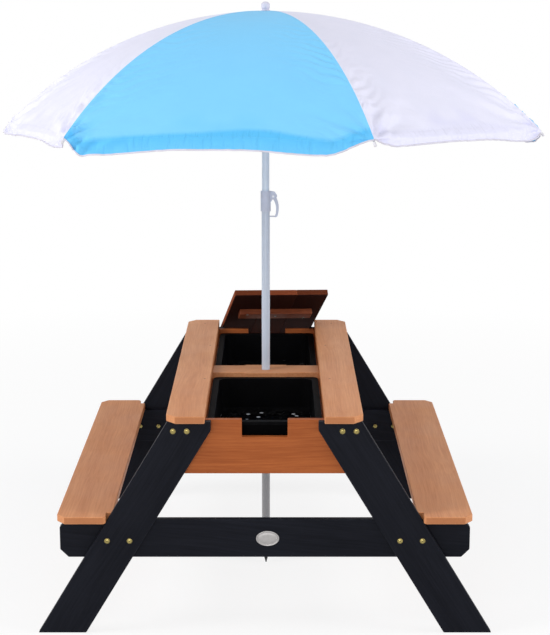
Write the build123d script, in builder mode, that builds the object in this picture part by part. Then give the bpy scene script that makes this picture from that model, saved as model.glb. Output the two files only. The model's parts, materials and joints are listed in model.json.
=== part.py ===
# A child's picnic table with two benches. Two bins for sand and water hang under its top, one
# wooden lid lies over the far end, and a small parasol stands in the hole of the crossbar.
# X runs to the right across the benches, Y runs away from the near end, and Z is up.
# The origin is on the floor under the middle of the parasol's rim, which leans to the far end.
from build123d import *
from math import asin, atan2, cos, degrees, hypot, radians, sin, sqrt, tan
import os

# Table, in millimetres and degrees
table_length = 950
table_height = 500
board = 16
board_edge = 1.2
frame_overhang = 16
top_plank_width = 83
top_opening = 257
top_corner_across = 20
top_corner_along = 23
seat_height = 274
seat_plank_width = 120
seat_bite = 12.978
seat_corner_across = 18
seat_corner_along = 21
leg_width = 90
leg_lean = 31
leg_top_span = 418.367
leg_stop = 232
fit_play = 0.5

apron_length = 416
apron_depth = 121
notch_width = 99
notch_depth = 39
seat_past_beam = 3
seat_beam_depth = 87
beam_corner = 18
ledge_width = 14
ledge_depth = 20
crossbar_width = 70
crossbar_swell = 5
crossbar_swell_length = 100
pole_play = 0.7

# Bins
bin_depth = 100
bin_wall = 2.5
bin_draft = 3
bin_corner = 22
bin_floor_bevel = 6
bin_rim_width = 12
bin_rim_corner = 14
bin_rim_lip = 6
bin_rim_bevel = 0.8
bin_side_play = 3.5
bin_end_play = 1.5
seat_gap = 0.3

# Lid, with its three turns away from lying level
lid_strip = 83
lid_length = 382
lid_turn = 15.6
lid_slope = -36.3
lid_roll = -7.2
lid_contact = 119
lid_reach = 197
batten_length = 196
batten_width = 30
batten_thickness = 15
batten_inset = 83

# Parasol pole
parasol_lean = 3.64
spike_point_length = 30
spike_point_width = 2
spike_width = 18
spike_fin = 3
spike_length = 88
spike_shoulder = 3
spike_shoulder_radius = 10.6
spike_plug_length = 34
lower_pole_radius = 9.8
upper_pole_radius = 8.8
pole_wall = 0.7
pole_slip = 0.3
lower_pole_top = 908
upper_pole_bottom = 560
upper_pole_top_below = 16

# Height collar and its lever
collar_bottom = 868
collar_lip = 8
collar_wall = 2.2
cheek_reach = 27
cheek_drop = 27
cheek_thickness = 2
lever_thickness = 5
lever_pivot_out = 18
lever_pivot_below = 12.5
lever_pin_radius = 1.6
lever_hub_radius = 5.4
lever_drop = 48
lever_swell = 13.3
lever_tip_radius = 1.5
lever_hole_radius = 2.7
turn_play = 0.05
slot_play = 0.3

# Canopy, ribs and runner
rib_count = 6
first_rib = -40
canopy_radius = 642
canopy_top = 1338
canopy_drop = 272
fabric = 0.8
fabric_start = 9
cloth_steps = 11
hem_drop = 21
hem_corner_drop = 31
hem_corner_share = 0.12
hem_pocket = 1
hem_splay = 18
seam_gap = 0.3
rib_thickness = 3.2
rib_below_fabric = 1.4
rib_tip_start = 3
rib_tip_length = 7
rib_tip_radius = 2.4
crown_pivot_out = 16
crown_pivot_below = 8
crown_radius = 23
crown_thickness = 11
crown_socket_length = 26
crown_socket_wall = 2.6
hinge_pin_radius = 1
hinge_ear = 1.3
eye_sides = 12
flange_sides = 24
rib_eye_radius = 4
link_thickness = 2.4
link_width = 4.2
bracket_out = 180
bracket_below = 5.4
bracket_length = 9
runner_slot_out = 21
runner_below = 132
runner_radius = 24
runner_flange = 11
runner_sleeve_length = 40
runner_wall = 3
runner_slip = 0.4
finial_radius = 11
finial_foot = 2
finial_knob_radius = 10
finial_height = 21
finial_flare = 5
finial_stem_radius = 3.5
finial_grips = 16

ends = ((-1, "front"), (1, "rear"))
sides = ((-1, "left"), (1, "right"))
os.makedirs("parts", exist_ok=True)


def save(part, name):
    """Label a finished piece and write it to its own file."""
    part.label = name
    export_step(part, f"parts/{name}.step")


# The parasol's axis passes through the middle of the crossbar's hole
plank_under = table_height - board
hole_height = plank_under - board / 2
foot_back = hole_height * tan(radians(parasol_lean))
rim_height = canopy_top - canopy_drop
upper_pole_top = canopy_top - upper_pole_top_below
runner_height = canopy_top - runner_below
table_middle = foot_back - rim_height * sin(radians(parasol_lean))
parasol = Plane(
    origin=(0, table_middle - foot_back, 0),
    x_dir=(1, 0, 0),
    z_dir=(0, sin(radians(parasol_lean)), cos(radians(parasol_lean))),
)


def across(distance):
    """An upright plane across the table, at a distance behind its middle, facing the near end."""
    return Plane(origin=(0, table_middle + distance, 0), x_dir=(1, 0, 0), z_dir=(0, -1, 0))


def level(height):
    """A level plane over the table's middle."""
    return Plane(origin=(0, table_middle, height))


def spoke(angle):
    """An upright plane through the parasol's axis; x runs outward at an angle from the near end, y runs up."""
    turn = radians(angle)
    out = parasol.x_dir * sin(turn) - parasol.y_dir * cos(turn)
    return Plane(origin=parasol.origin, x_dir=out, z_dir=out.cross(parasol.z_dir))


# Frame: legs, aprons, seat beams, rails, ledges and crossbar
frame_out = table_length / 2 - frame_overhang
apron_out = frame_out - board
apron_in = apron_out - board
leg_run = tan(radians(leg_lean))
leg_across = leg_width / cos(radians(leg_lean))
leg_top_out = leg_top_span / 2
foot_out = leg_top_out + leg_run * plank_under
foot_in = foot_out - leg_across
leg_stop_out = leg_stop / 2
apron_bottom = plank_under - apron_depth
seat_under = seat_height - board
beam_bottom = seat_under - seat_beam_depth
leg_out_at_seat = foot_out - leg_run * seat_under
seat_in = leg_out_at_seat - seat_bite
seat_out = seat_in + seat_plank_width
seat_beam_length = 2 * (seat_out - seat_past_beam)

for end, end_name in ends:
    outer = frame_out if end < 0 else -apron_out
    for side, side_name in sides:
        with BuildPart() as leg:
            with BuildSketch(across(-outer)):
                with BuildLine():
                    Polyline(
                        (side * foot_out, 0),
                        (side * leg_top_out, plank_under),
                        (side * leg_stop_out, plank_under),
                        (side * leg_stop_out, (foot_in - leg_stop_out) / leg_run),
                        (side * foot_in, 0),
                        close=True,
                    )
                make_face()
            extrude(amount=-board)
            chamfer(leg.edges(), board_edge)
        save(leg.part, f"leg_{end_name}_{side_name}")

for end, end_name in ends:
    outer = apron_out if end < 0 else -apron_in
    with BuildPart() as apron:
        with BuildSketch(across(-outer)):
            with Locations((0, apron_bottom)):
                Rectangle(apron_length, apron_depth, align=(Align.CENTER, Align.MIN))
            with Locations((0, plank_under)):
                Rectangle(
                    notch_width, notch_depth, align=(Align.CENTER, Align.MAX), mode=Mode.SUBTRACT
                )
        extrude(amount=-board)
        chamfer(apron.edges(), board_edge)
    save(apron.part, f"apron_{end_name}")

    with BuildPart() as seat_beam:
        with BuildSketch(across(-outer)) as beam_face:
            with Locations((0, beam_bottom)):
                Rectangle(seat_beam_length, seat_beam_depth, align=(Align.CENTER, Align.MIN))
            chamfer(beam_face.vertices().group_by(Axis.Z)[0], beam_corner)
        extrude(amount=-board)
        chamfer(seat_beam.edges(), board_edge)
    save(seat_beam.part, f"seat_beam_{end_name}")

opening_out = top_opening / 2
ledge_top = plank_under - board
for side, side_name in sides:
    with BuildPart() as side_rail:
        with BuildSketch(across(-apron_in)):
            with Locations((side * (opening_out + board / 2), apron_bottom)):
                Rectangle(board, apron_depth, align=(Align.CENTER, Align.MIN))
        extrude(amount=-2 * apron_in)
        chamfer(side_rail.edges().filter_by(Axis.Y), board_edge)
    save(side_rail.part, f"side_rail_{side_name}")

    with BuildPart() as ledge:
        with BuildSketch(across(-apron_in)):
            with Locations((side * (opening_out - ledge_width / 2), ledge_top)):
                Rectangle(ledge_width, ledge_depth, align=(Align.CENTER, Align.MAX))
        extrude(amount=-2 * apron_in)
        chamfer(ledge.edges().filter_by(Axis.Y), board_edge)
    save(ledge.part, f"bin_ledge_{side_name}")

# The hole is wide enough for the pole at its lean
pole_lean = radians(parasol_lean)
pole_hole_radius = lower_pole_radius / cos(pole_lean) + board / 2 * tan(pole_lean) + pole_play
with BuildPart() as crossbar:
    with BuildSketch(level(ledge_top)):
        Rectangle(top_opening, crossbar_width)
        Rectangle(crossbar_swell_length, crossbar_width + 2 * crossbar_swell)
    extrude(amount=board)
    chamfer(crossbar.edges().group_by(Axis.Z)[-1], board_edge)
    with BuildSketch(level(ledge_top)):
        Circle(pole_hole_radius)
    extrude(amount=board, mode=Mode.SUBTRACT)
save(crossbar.part, "crossbar")


# Planks of the top and the benches, with their corners cut off
def plank_outline(inner, outer, cut_across, cut_along, cut_inside):
    """The outline of a plank on the right side, with cut corners outside and, if asked, inside too."""
    half = table_length / 2
    points = []
    for end in (-1, 1):
        corner = [(outer, end * (half - cut_along)), (outer - cut_across, end * half)]
        if cut_inside:
            corner += [(inner + cut_across, end * half), (inner, end * (half - cut_along))]
        else:
            corner += [(inner, end * half)]
        points += corner if end < 0 else corner[::-1]
    return points


top_in = opening_out
top_out = opening_out + top_plank_width
seat_notch = seat_bite + fit_play
for side, side_name in sides:
    with BuildPart() as top_plank:
        with BuildSketch(level(plank_under)):
            with BuildLine():
                outline = plank_outline(top_in, top_out, top_corner_across, top_corner_along, False)
                Polyline(*[(side * x, y) for x, y in outline], close=True)
            make_face()
        extrude(amount=board)
        chamfer(top_plank.edges(), board_edge)
    save(top_plank.part, f"tabletop_plank_{side_name}")

    with BuildPart() as seat_plank:
        with BuildSketch(level(seat_under)):
            with BuildLine():
                outline = plank_outline(
                    seat_in, seat_out, seat_corner_across, seat_corner_along, True
                )
                Polyline(*[(side * x, y) for x, y in outline], close=True)
            make_face()
            for end in (-1, 1):
                with Locations((side * seat_in, end * table_length / 2)):
                    Rectangle(
                        2 * seat_notch, 2 * (frame_overhang + board + fit_play), mode=Mode.SUBTRACT
                    )
        extrude(amount=board)
        chamfer(seat_plank.edges(), board_edge)
    save(seat_plank.part, f"seat_plank_{side_name}")

# Bins, each a drafted tub with a turned-down rim that hangs on the ledges
rim_top = ledge_top + seat_gap + bin_rim_lip
rim_half_width = opening_out - bin_side_play
rim_near = crossbar_width / 2 + crossbar_swell + bin_end_play
rim_far = apron_in - 2 * bin_end_play
rim_length = rim_far - rim_near
tub_width = 2 * (rim_half_width - bin_rim_width)
tub_length = rim_length - 2 * bin_rim_width


def tub_sections(inset, depth):
    """Levels and widths of a drafted tub that lies an inset inside the outer one."""
    bevel_top = depth - bin_floor_bevel
    narrowing = inset + bevel_top * tan(radians(bin_draft))
    return (0, inset), (bevel_top, narrowing), (depth, narrowing + bin_floor_bevel)


for end, end_name in ends:
    middle = end * (rim_near + rim_far) / 2
    with BuildPart() as bin_space:
        for below, inset in tub_sections(bin_wall, bin_depth - bin_wall):
            with BuildSketch(level(rim_top - below)):
                with Locations((0, middle)):
                    RectangleRounded(tub_width - 2 * inset, tub_length - 2 * inset, bin_corner)
        loft(ruled=True)
    with BuildPart() as bin_tub:
        for below, inset in tub_sections(0, bin_depth):
            with BuildSketch(level(rim_top - below)):
                with Locations((0, middle)):
                    RectangleRounded(tub_width - 2 * inset, tub_length - 2 * inset, bin_corner)
        loft(ruled=True)
        with BuildSketch(level(rim_top)):
            with Locations((0, middle)):
                RectangleRounded(2 * rim_half_width, rim_length, bin_rim_corner)
        extrude(amount=-bin_rim_lip)
        chamfer(bin_tub.faces().sort_by(Axis.Z)[-1].edges(), bin_rim_bevel)
        with BuildSketch(level(rim_top - bin_wall)):
            with Locations((0, middle)):
                RectangleRounded(
                    2 * (rim_half_width - bin_wall),
                    rim_length - 2 * bin_wall,
                    bin_rim_corner - bin_wall,
                )
                RectangleRounded(tub_width, tub_length, bin_corner, mode=Mode.SUBTRACT)
        extrude(amount=bin_wall - bin_rim_lip, mode=Mode.SUBTRACT)
        add(bin_space.part, mode=Mode.SUBTRACT)
    save(bin_tub.part, f"bin_{end_name}")

# Lid: its plane's origin is the point of its left lower edge that lies on the bevelled top edge of
# the far left leg, and its y runs down to the far end
lid_rest = board_edge / 2
lid_spot = Location(
    (-lid_contact, table_middle + frame_out - lid_rest, plank_under - lid_rest + seat_gap)
)
lid_plane = Plane(lid_spot * Rot(Y=lid_roll) * Rot(X=lid_slope) * Rot(Z=lid_turn))
lid_names = ("left", "middle", "right")
lid_width = len(lid_names) * lid_strip
for place, lid_name in enumerate(lid_names):
    with BuildPart() as lid_board:
        with BuildSketch(lid_plane):
            with Locations((place * lid_strip, -lid_reach)):
                Rectangle(lid_strip, lid_length, align=Align.MIN)
        extrude(amount=board)
        chamfer(lid_board.edges(), board_edge)
    save(lid_board.part, f"lid_board_{lid_name}")
batten_places = {
    "upper": -lid_reach + batten_inset + batten_width / 2,
    "lower": -lid_reach + lid_length - batten_inset - batten_width / 2,
}
for batten_name, along in batten_places.items():
    with BuildPart() as batten:
        with BuildSketch(lid_plane):
            with Locations((lid_width / 2, along)):
                Rectangle(batten_length, batten_width)
        extrude(amount=-batten_thickness)
        chamfer(batten.edges(), board_edge)
    save(batten.part, f"lid_batten_{batten_name}")

# Ground spike: two crossed blades that run to a point, a shoulder under the tube and a plug inside it
pole_bore = lower_pole_radius - pole_wall
with BuildPart() as ground_spike:
    for angle in (0, 90):
        with BuildSketch(spoke(angle)):
            with BuildLine():
                Polyline(
                    (-spike_point_width / 2, 0),
                    (spike_point_width / 2, 0),
                    (spike_width / 2, spike_point_length),
                    (spike_width / 2, spike_length),
                    (-spike_width / 2, spike_length),
                    (-spike_width / 2, spike_point_length),
                    close=True,
                )
            make_face()
        extrude(amount=spike_fin / 2, both=True)
    with BuildSketch(parasol.offset(spike_length)):
        Circle(spike_shoulder_radius)
    extrude(amount=spike_shoulder)
    with BuildSketch(parasol.offset(spike_length)):
        Circle(pole_bore - turn_play)
    extrude(amount=spike_plug_length)
save(ground_spike.part, "ground_spike")

# Poles
lever_tip_height = lower_pole_top + collar_lip - lever_pivot_below - lever_drop
pole_foot = spike_length + spike_shoulder
with BuildPart() as lower_pole:
    with BuildSketch(parasol.offset(pole_foot)):
        Circle(lower_pole_radius)
        Circle(pole_bore, mode=Mode.SUBTRACT)
    extrude(amount=lower_pole_top - pole_foot)
    with BuildSketch(Plane(spoke(0).from_local_coords((0, lever_tip_height, 0)), x_dir=parasol.y_dir, z_dir=parasol.x_dir)):
        Circle(lever_hole_radius)
    extrude(amount=2 * lower_pole_radius, mode=Mode.SUBTRACT)
save(lower_pole.part, "lower_pole")

with BuildPart() as upper_pole:
    with BuildSketch(parasol.offset(upper_pole_bottom)):
        Circle(upper_pole_radius)
        Circle(upper_pole_radius - pole_wall, mode=Mode.SUBTRACT)
    extrude(amount=upper_pole_top - upper_pole_bottom)
save(upper_pole.part, "upper_pole")

# Height collar: a sleeve over the joint of the tubes, with two cheeks for the lever
collar_top = lower_pole_top + collar_lip
collar_radius = lower_pole_radius + collar_wall
pivot_height = collar_top - lever_pivot_below
cheeks_half = lever_thickness / 2 + slot_play + cheek_thickness
lever_plane = spoke(90)
with BuildPart() as height_collar:
    with BuildSketch(lever_plane):
        with BuildLine():
            Polyline(
                (0, collar_top),
                (collar_radius, collar_top),
                (cheek_reach - lever_hub_radius, collar_top - cheek_thickness),
                (cheek_reach, pivot_height + cheek_thickness),
                (cheek_reach, pivot_height - cheek_thickness),
                (lever_pivot_out, pivot_height - lever_hub_radius),
                (collar_radius, collar_top - cheek_drop),
                (0, collar_top - cheek_drop),
                close=True,
            )
        make_face()
    extrude(amount=cheeks_half, both=True)
    with BuildSketch(lever_plane):
        with Locations((collar_radius, collar_bottom)):
            Rectangle(
                cheek_reach, collar_top - collar_bottom, align=Align.MIN
            )
    extrude(amount=lever_thickness / 2 + slot_play, both=True, mode=Mode.SUBTRACT)
    with BuildSketch(parasol.offset(collar_bottom)):
        Circle(collar_radius)
    extrude(amount=collar_top - collar_bottom)
    with BuildSketch(parasol.offset(collar_bottom)):
        Circle(lower_pole_radius)
    extrude(amount=lower_pole_top - collar_bottom, mode=Mode.SUBTRACT)
    with BuildSketch(parasol.offset(lower_pole_top)):
        Circle(upper_pole_radius + pole_slip)
    extrude(amount=collar_lip, mode=Mode.SUBTRACT)
    with BuildSketch(lever_plane):
        with Locations((lever_pivot_out, pivot_height)):
            Circle(lever_pin_radius)
    extrude(amount=cheeks_half, both=True, mode=Mode.SUBTRACT)
save(height_collar.part, "height_collar")

with BuildPart() as lever_pin:
    with BuildSketch(lever_plane):
        with Locations((lever_pivot_out, pivot_height)):
            Circle(lever_pin_radius)
    extrude(amount=cheeks_half, both=True)
save(lever_pin.part, "lever_pin")

# Lever: a hub, a bowed arm that leaves room for a finger, and a pin that enters the tube.
# Its points are shares of the bow's width and of the drop from the pivot to the pin.
outer_bow_shares = ((0.42, 0.0), (1.0, 0.62), (0.8, 0.94))
outer_hook_shares = ((0.8, 0.94), (0.62, 1.02), (0.35, 1.04))
inner_hook_shares = ((0.35, 0.92), (0.44, 0.88), (0.46, 0.8))
inner_bow_shares = ((0.46, 0.8), (0.45, 0.46), (-0.1, 0.11))


def lever_point(shares):
    """A point of the lever's outline from its shares of the bow and of the drop."""
    return lever_pivot_out + shares[0] * lever_swell, pivot_height - shares[1] * lever_drop


with BuildPart() as lock_lever:
    with BuildSketch(lever_plane):
        with BuildLine():
            outer_bow = ThreePointArc(*[lever_point(shares) for shares in outer_bow_shares])
            outer_hook = ThreePointArc(*[lever_point(shares) for shares in outer_hook_shares])
            inner_hook = ThreePointArc(*[lever_point(shares) for shares in inner_hook_shares])
            inner_bow = ThreePointArc(*[lever_point(shares) for shares in inner_bow_shares])
            Line(outer_hook @ 1, inner_hook @ 0)
            Line(inner_bow @ 1, outer_bow @ 0)
        make_face()
        with Locations((lever_pivot_out, pivot_height)):
            Circle(lever_hub_radius)
            Circle(lever_pin_radius + turn_play, mode=Mode.SUBTRACT)
    extrude(amount=lever_thickness / 2, both=True)
    pin_start = pole_bore + turn_play
    pin_plane = Plane(
        origin=lever_plane.from_local_coords((pin_start, lever_tip_height, 0)),
        x_dir=parasol.y_dir,
        z_dir=parasol.x_dir,
    )
    with BuildSketch(pin_plane):
        Circle(lever_tip_radius)
    extrude(amount=lever_point(inner_hook_shares[-1])[0] - pin_start)
save(lock_lever.part, "lock_lever")

# Canopy: cloth drawn straight from rib to rib over an arch
dome_radius = (canopy_radius**2 + canopy_drop**2) / (2 * canopy_drop)
gore = 360 / rib_count
rib_arch = dome_radius - fabric - rib_below_fabric - rib_thickness / 2
dome_centre = canopy_top - dome_radius


def arch(radius, out):
    """The height of a curve of the dome at a distance from the axis."""
    return dome_centre + sqrt(radius**2 - out**2)




half_gore = radians(gore / 2)
cloth_first = asin(fabric_start / dome_radius)
cloth_last = asin(canopy_radius / dome_radius)
cloth_outs = [
    dome_radius * sin(cloth_first + (cloth_last - cloth_first) * number / cloth_steps)
    for number in range(cloth_steps + 1)
]
cloth_top = [(out * cos(half_gore), arch(dome_radius, out)) for out in cloth_outs]
cloth_under = [(out, height - fabric) for out, height in cloth_top]
cloth_edge = cloth_top[-1]
half_chord = canopy_radius * sin(half_gore)
corner_chord = half_chord * (1 - 2 * hem_corner_share)
hem_tilt = radians(hem_splay)

# The hanging edge hides the rib's end at each corner, drops beside it and rises a little between
for number in range(rib_count):
    middle_plane = spoke(first_rib + gore * (number + 1 / 2))
    with BuildPart() as canopy_panel:
        with BuildSketch(middle_plane):
            with BuildLine():
                Polyline(*cloth_top, *cloth_under[::-1], close=True)
            make_face()
        extrude(amount=half_chord, both=True)
        hem_plane = Plane(
            origin=middle_plane.from_local_coords((*cloth_edge, 0)),
            x_dir=middle_plane.z_dir,
            z_dir=middle_plane.x_dir * cos(hem_tilt) + middle_plane.y_dir * sin(hem_tilt),
        )
        with BuildSketch(hem_plane):
            with BuildLine():
                Polyline(
                    (-half_chord, 0),
                    (-half_chord, hem_pocket),
                    (-corner_chord, hem_corner_drop),
                    (0, hem_drop),
                    (corner_chord, hem_corner_drop),
                    (half_chord, hem_pocket),
                    (half_chord, 0),
                    close=True,
                )
            make_face()
        extrude(amount=-fabric)
        with BuildSketch(parasol.offset(rim_height - 2 * hem_corner_drop)):
            with BuildLine():
                left = middle_plane.x_dir * cos(half_gore) - middle_plane.z_dir * sin(half_gore)
                right = middle_plane.x_dir * cos(half_gore) + middle_plane.z_dir * sin(half_gore)
                seam = middle_plane.x_dir * seam_gap
                reach = 2 * canopy_radius
                corners = (seam, seam + left * reach, seam + right * reach)
                Polyline(
                    *[(corner.dot(parasol.x_dir), corner.dot(parasol.y_dir)) for corner in corners],
                    close=True,
                )
            make_face()
        extrude(amount=canopy_top - rim_height + 2 * hem_corner_drop, mode=Mode.INTERSECT)
    save(canopy_panel.part, f"canopy_panel_{number + 1}")

# Crown hub with a slot and a pin for each rib, and the finial that clamps the cloth on it
crown_pivot_height = canopy_top - crown_pivot_below
crown_bottom = crown_pivot_height - crown_thickness / 2
crown_top = crown_pivot_height + crown_thickness / 2
slot_half = rib_thickness / 2 + slot_play
crown_slot_start = crown_pivot_out - rib_eye_radius - slot_play
with BuildPart() as crown_hub:
    with BuildSketch(parasol.offset(crown_bottom)):
        RegularPolygon(crown_radius, flange_sides)
    extrude(amount=crown_thickness)
    with BuildSketch(parasol.offset(crown_top - crown_socket_length)):
        RegularPolygon(upper_pole_radius + crown_socket_wall, flange_sides)
    extrude(amount=crown_socket_length)
    with BuildSketch(parasol.offset(crown_top - crown_socket_length)):
        Circle(upper_pole_radius)
    extrude(amount=upper_pole_top - crown_top + crown_socket_length, mode=Mode.SUBTRACT)
    for number in range(rib_count):
        with BuildSketch(spoke(first_rib + gore * number)):
            with Locations((crown_slot_start, crown_bottom)):
                Rectangle(crown_radius, crown_thickness, align=Align.MIN)
        extrude(amount=slot_half, both=True, mode=Mode.SUBTRACT)
        with BuildSketch(spoke(first_rib + gore * number)):
            with Locations((crown_pivot_out, crown_pivot_height)):
                Circle(hinge_pin_radius)
        extrude(amount=slot_half, both=True)
save(crown_hub.part, "crown_hub")

finial_bottom = canopy_top + seat_gap
with BuildPart() as finial:
    with BuildSketch(parasol.offset(crown_top)):
        RegularPolygon(finial_stem_radius, finial_grips)
    extrude(amount=finial_bottom - crown_top)
    with BuildSketch(parasol.offset(finial_bottom + finial_foot)):
        RegularPolygon(finial_knob_radius, finial_grips)
    extrude(amount=finial_height - finial_foot)
    knob_ends = finial.faces().filter_by(Plane(parasol.origin, z_dir=parasol.z_dir))
    knob_ends = knob_ends.sort_by(Axis(parasol.origin, parasol.z_dir))[-2:]
    chamfer(knob_ends[0].edges(), finial_flare, finial_flare / 2)
    chamfer(knob_ends[1].edges(), finial_flare)
    with BuildSketch(parasol.offset(finial_bottom)):
        RegularPolygon(finial_radius, finial_grips)
    extrude(amount=finial_foot)
save(finial.part, "finial")

# Ribs: a bent steel bar with an eye at the crown, a bracket for its stretcher and a tip.
# The bar runs on an arch of its own just below the cloth.
rib_end = canopy_radius + rib_tip_start
bar_middle = canopy_radius / 2
rib_start = (crown_pivot_out, arch(rib_arch, crown_pivot_out))
rib_pivot = (crown_pivot_out, crown_pivot_height)
rib_tip = (rib_end, arch(rib_arch, rib_end))
bracket_slope = atan2(bracket_out, sqrt(rib_arch**2 - bracket_out**2))
bracket_top = arch(rib_arch, bracket_out)
bar_under = (
    bracket_out - rib_thickness / 2 * sin(bracket_slope),
    bracket_top - rib_thickness / 2 * cos(bracket_slope),
)
link_start = (
    bracket_out - bracket_below * sin(bracket_slope),
    bracket_top - bracket_below * cos(bracket_slope),
)
link_end = (runner_slot_out, runner_height)
link_middle = ((link_start[0] + link_end[0]) / 2, (link_start[1] + link_end[1]) / 2)
link_length = hypot(link_start[0] - link_end[0], link_start[1] - link_end[1])
link_angle = degrees(atan2(link_start[1] - link_end[1], link_start[0] - link_end[0]))
link_slot_half = link_thickness / 2 + slot_play
for number in range(rib_count):
    rib_plane = spoke(first_rib + gore * number)
    with BuildPart() as rib:
        with BuildLine(rib_plane):
            bar_line = ThreePointArc(rib_start, (bar_middle, arch(rib_arch, bar_middle)), rib_tip)
        with BuildSketch(Plane(bar_line @ 0, x_dir=rib_plane.z_dir, z_dir=bar_line % 0)):
            Rectangle(rib_thickness, rib_thickness)
        sweep()
        with BuildSketch(Plane(bar_line @ 1, z_dir=bar_line % 1)):
            RegularPolygon(rib_tip_radius, eye_sides)
        extrude(amount=rib_tip_length)
        with BuildSketch(rib_plane):
            with Locations(rib_pivot):
                RegularPolygon(rib_eye_radius, eye_sides)
        extrude(amount=rib_thickness / 2, both=True)
        with BuildSketch(rib_plane):
            with Locations(rib_pivot):
                RegularPolygon(hinge_pin_radius + turn_play, eye_sides, major_radius=False)
        extrude(amount=rib_thickness, both=True, mode=Mode.SUBTRACT)
        with BuildSketch(rib_plane):
            with Locations(Location((bracket_out, bracket_top, 0), (0, 0, -degrees(bracket_slope)))):
                Rectangle(
                    bracket_length,
                    bracket_below + bracket_length / 3,
                    align=(Align.CENTER, Align.MAX),
                )
        extrude(amount=link_slot_half + hinge_ear, both=True)
        with BuildSketch(rib_plane):
            with Locations(Location((*bar_under, 0), (0, 0, -degrees(bracket_slope)))):
                Rectangle(2 * bracket_length, bracket_length, align=(Align.CENTER, Align.MAX))
        extrude(amount=link_slot_half, both=True, mode=Mode.SUBTRACT)
        with BuildSketch(rib_plane):
            with Locations(link_start):
                Circle(hinge_pin_radius)
        extrude(amount=link_slot_half + hinge_ear, both=True)
    save(rib.part, f"rib_{number + 1}")

    with BuildPart() as stretcher:
        with BuildSketch(rib_plane):
            with Locations(Location((*link_middle, 0), (0, 0, link_angle))):
                Rectangle(link_length, link_width)
            with Locations(link_start, link_end):
                RegularPolygon(link_width / 2, eye_sides, major_radius=False, rotation=link_angle)
            with Locations(link_start):
                RegularPolygon(
                    hinge_pin_radius + turn_play, eye_sides, major_radius=False, mode=Mode.SUBTRACT
                )
        extrude(amount=link_thickness / 2, both=True)
    save(stretcher.part, f"stretcher_{number + 1}")

# Runner: a sleeve that slides on the upper tube, with a slot for each stretcher's free end
runner_bore = upper_pole_radius + runner_slip
with BuildPart() as runner:
    with BuildSketch(parasol.offset(runner_height - runner_flange / 2)):
        RegularPolygon(runner_radius, flange_sides)
    extrude(amount=runner_flange)
    with BuildSketch(parasol.offset(runner_height + runner_flange / 2)):
        RegularPolygon(runner_bore + runner_wall, flange_sides)
    extrude(amount=-runner_sleeve_length)
    with BuildSketch(parasol.offset(runner_height + runner_flange / 2)):
        Circle(runner_bore)
    extrude(amount=-runner_sleeve_length, mode=Mode.SUBTRACT)
    for number in range(rib_count):
        with BuildSketch(spoke(first_rib + gore * number)):
            with Locations((runner_bore + runner_wall, runner_height - runner_flange / 2)):
                Rectangle(runner_radius, runner_flange, align=Align.MIN)
        extrude(amount=link_slot_half, both=True, mode=Mode.SUBTRACT)
save(runner.part, "runner")
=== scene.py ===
import json
import math

import bmesh
import bpy
import numpy as np
from bpy.props import FloatProperty, FloatVectorProperty, IntProperty, PointerProperty
from mathutils import Matrix, Vector, noise


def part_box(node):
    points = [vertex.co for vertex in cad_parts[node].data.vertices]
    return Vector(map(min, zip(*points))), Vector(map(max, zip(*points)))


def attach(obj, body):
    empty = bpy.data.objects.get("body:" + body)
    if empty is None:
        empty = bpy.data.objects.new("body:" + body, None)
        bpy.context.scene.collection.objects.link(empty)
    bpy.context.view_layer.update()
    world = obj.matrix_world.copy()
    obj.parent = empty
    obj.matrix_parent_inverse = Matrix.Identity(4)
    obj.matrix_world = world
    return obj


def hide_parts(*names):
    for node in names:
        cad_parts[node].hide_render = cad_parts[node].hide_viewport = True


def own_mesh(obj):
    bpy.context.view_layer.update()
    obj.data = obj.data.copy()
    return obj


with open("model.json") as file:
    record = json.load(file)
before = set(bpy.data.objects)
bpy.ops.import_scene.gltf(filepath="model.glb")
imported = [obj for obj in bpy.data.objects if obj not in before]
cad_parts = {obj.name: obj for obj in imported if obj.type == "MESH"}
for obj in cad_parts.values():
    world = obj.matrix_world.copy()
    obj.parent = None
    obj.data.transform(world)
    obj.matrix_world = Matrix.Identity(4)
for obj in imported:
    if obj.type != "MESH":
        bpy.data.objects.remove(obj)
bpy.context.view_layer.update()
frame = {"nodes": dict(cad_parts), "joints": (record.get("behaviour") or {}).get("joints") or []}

bl_info = {
    "name": "Picnic Table with Sand Bins and Parasol",
    "version": (1, 0, 0),
    "blender": (4, 5, 0),
    "location": "View3D > Sidebar > Picnic Table",
    "description": "Finishes the boards, bins and pole of a child's picnic table and sews its parasol",
    "category": "Object",
}

CAD = frame["nodes"]
JOINTS = {joint["name"]: joint for joint in frame["joints"]}

# The parasol's axis comes from the joint that it turns on
POLE_UP = Vector(JOINTS["parasol_turn"]["axis"]).normalized()
POLE_PIVOT = Vector(JOINTS["parasol_turn"]["pos_m"])
POLE_FOOT = POLE_PIVOT - POLE_UP * (POLE_PIVOT.z / POLE_UP.z)
TO_RIGHT = Vector((1, 0, 0))
TO_NEAR = TO_RIGHT.cross(POLE_UP).normalized() * (1 if TO_RIGHT.cross(POLE_UP).y < 0 else -1)

# The two ends of the table: the middle of its length, and which way each end faces
FRONT_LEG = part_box("leg_front_left")
REAR_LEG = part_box("leg_rear_left")
TABLE_MIDDLE = (FRONT_LEG[0][1] + REAR_LEG[1][1]) / 2
ENDS = (("front", -1), ("rear", 1))
SIDES = (("left", -1), ("right", 1))


# Sizes and colours


def colour_setting(name, description, default):
    return FloatVectorProperty(
        name=name, description=description, subtype="COLOR", size=3, min=0, max=1, default=default
    )


def length_setting(name, description, default):
    return FloatProperty(
        name=name, description=description, subtype="DISTANCE", unit="LENGTH", min=0, default=default
    )


def share_setting(name, description, default):
    return FloatProperty(name=name, description=description, subtype="FACTOR", min=0, max=1, default=default)


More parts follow.
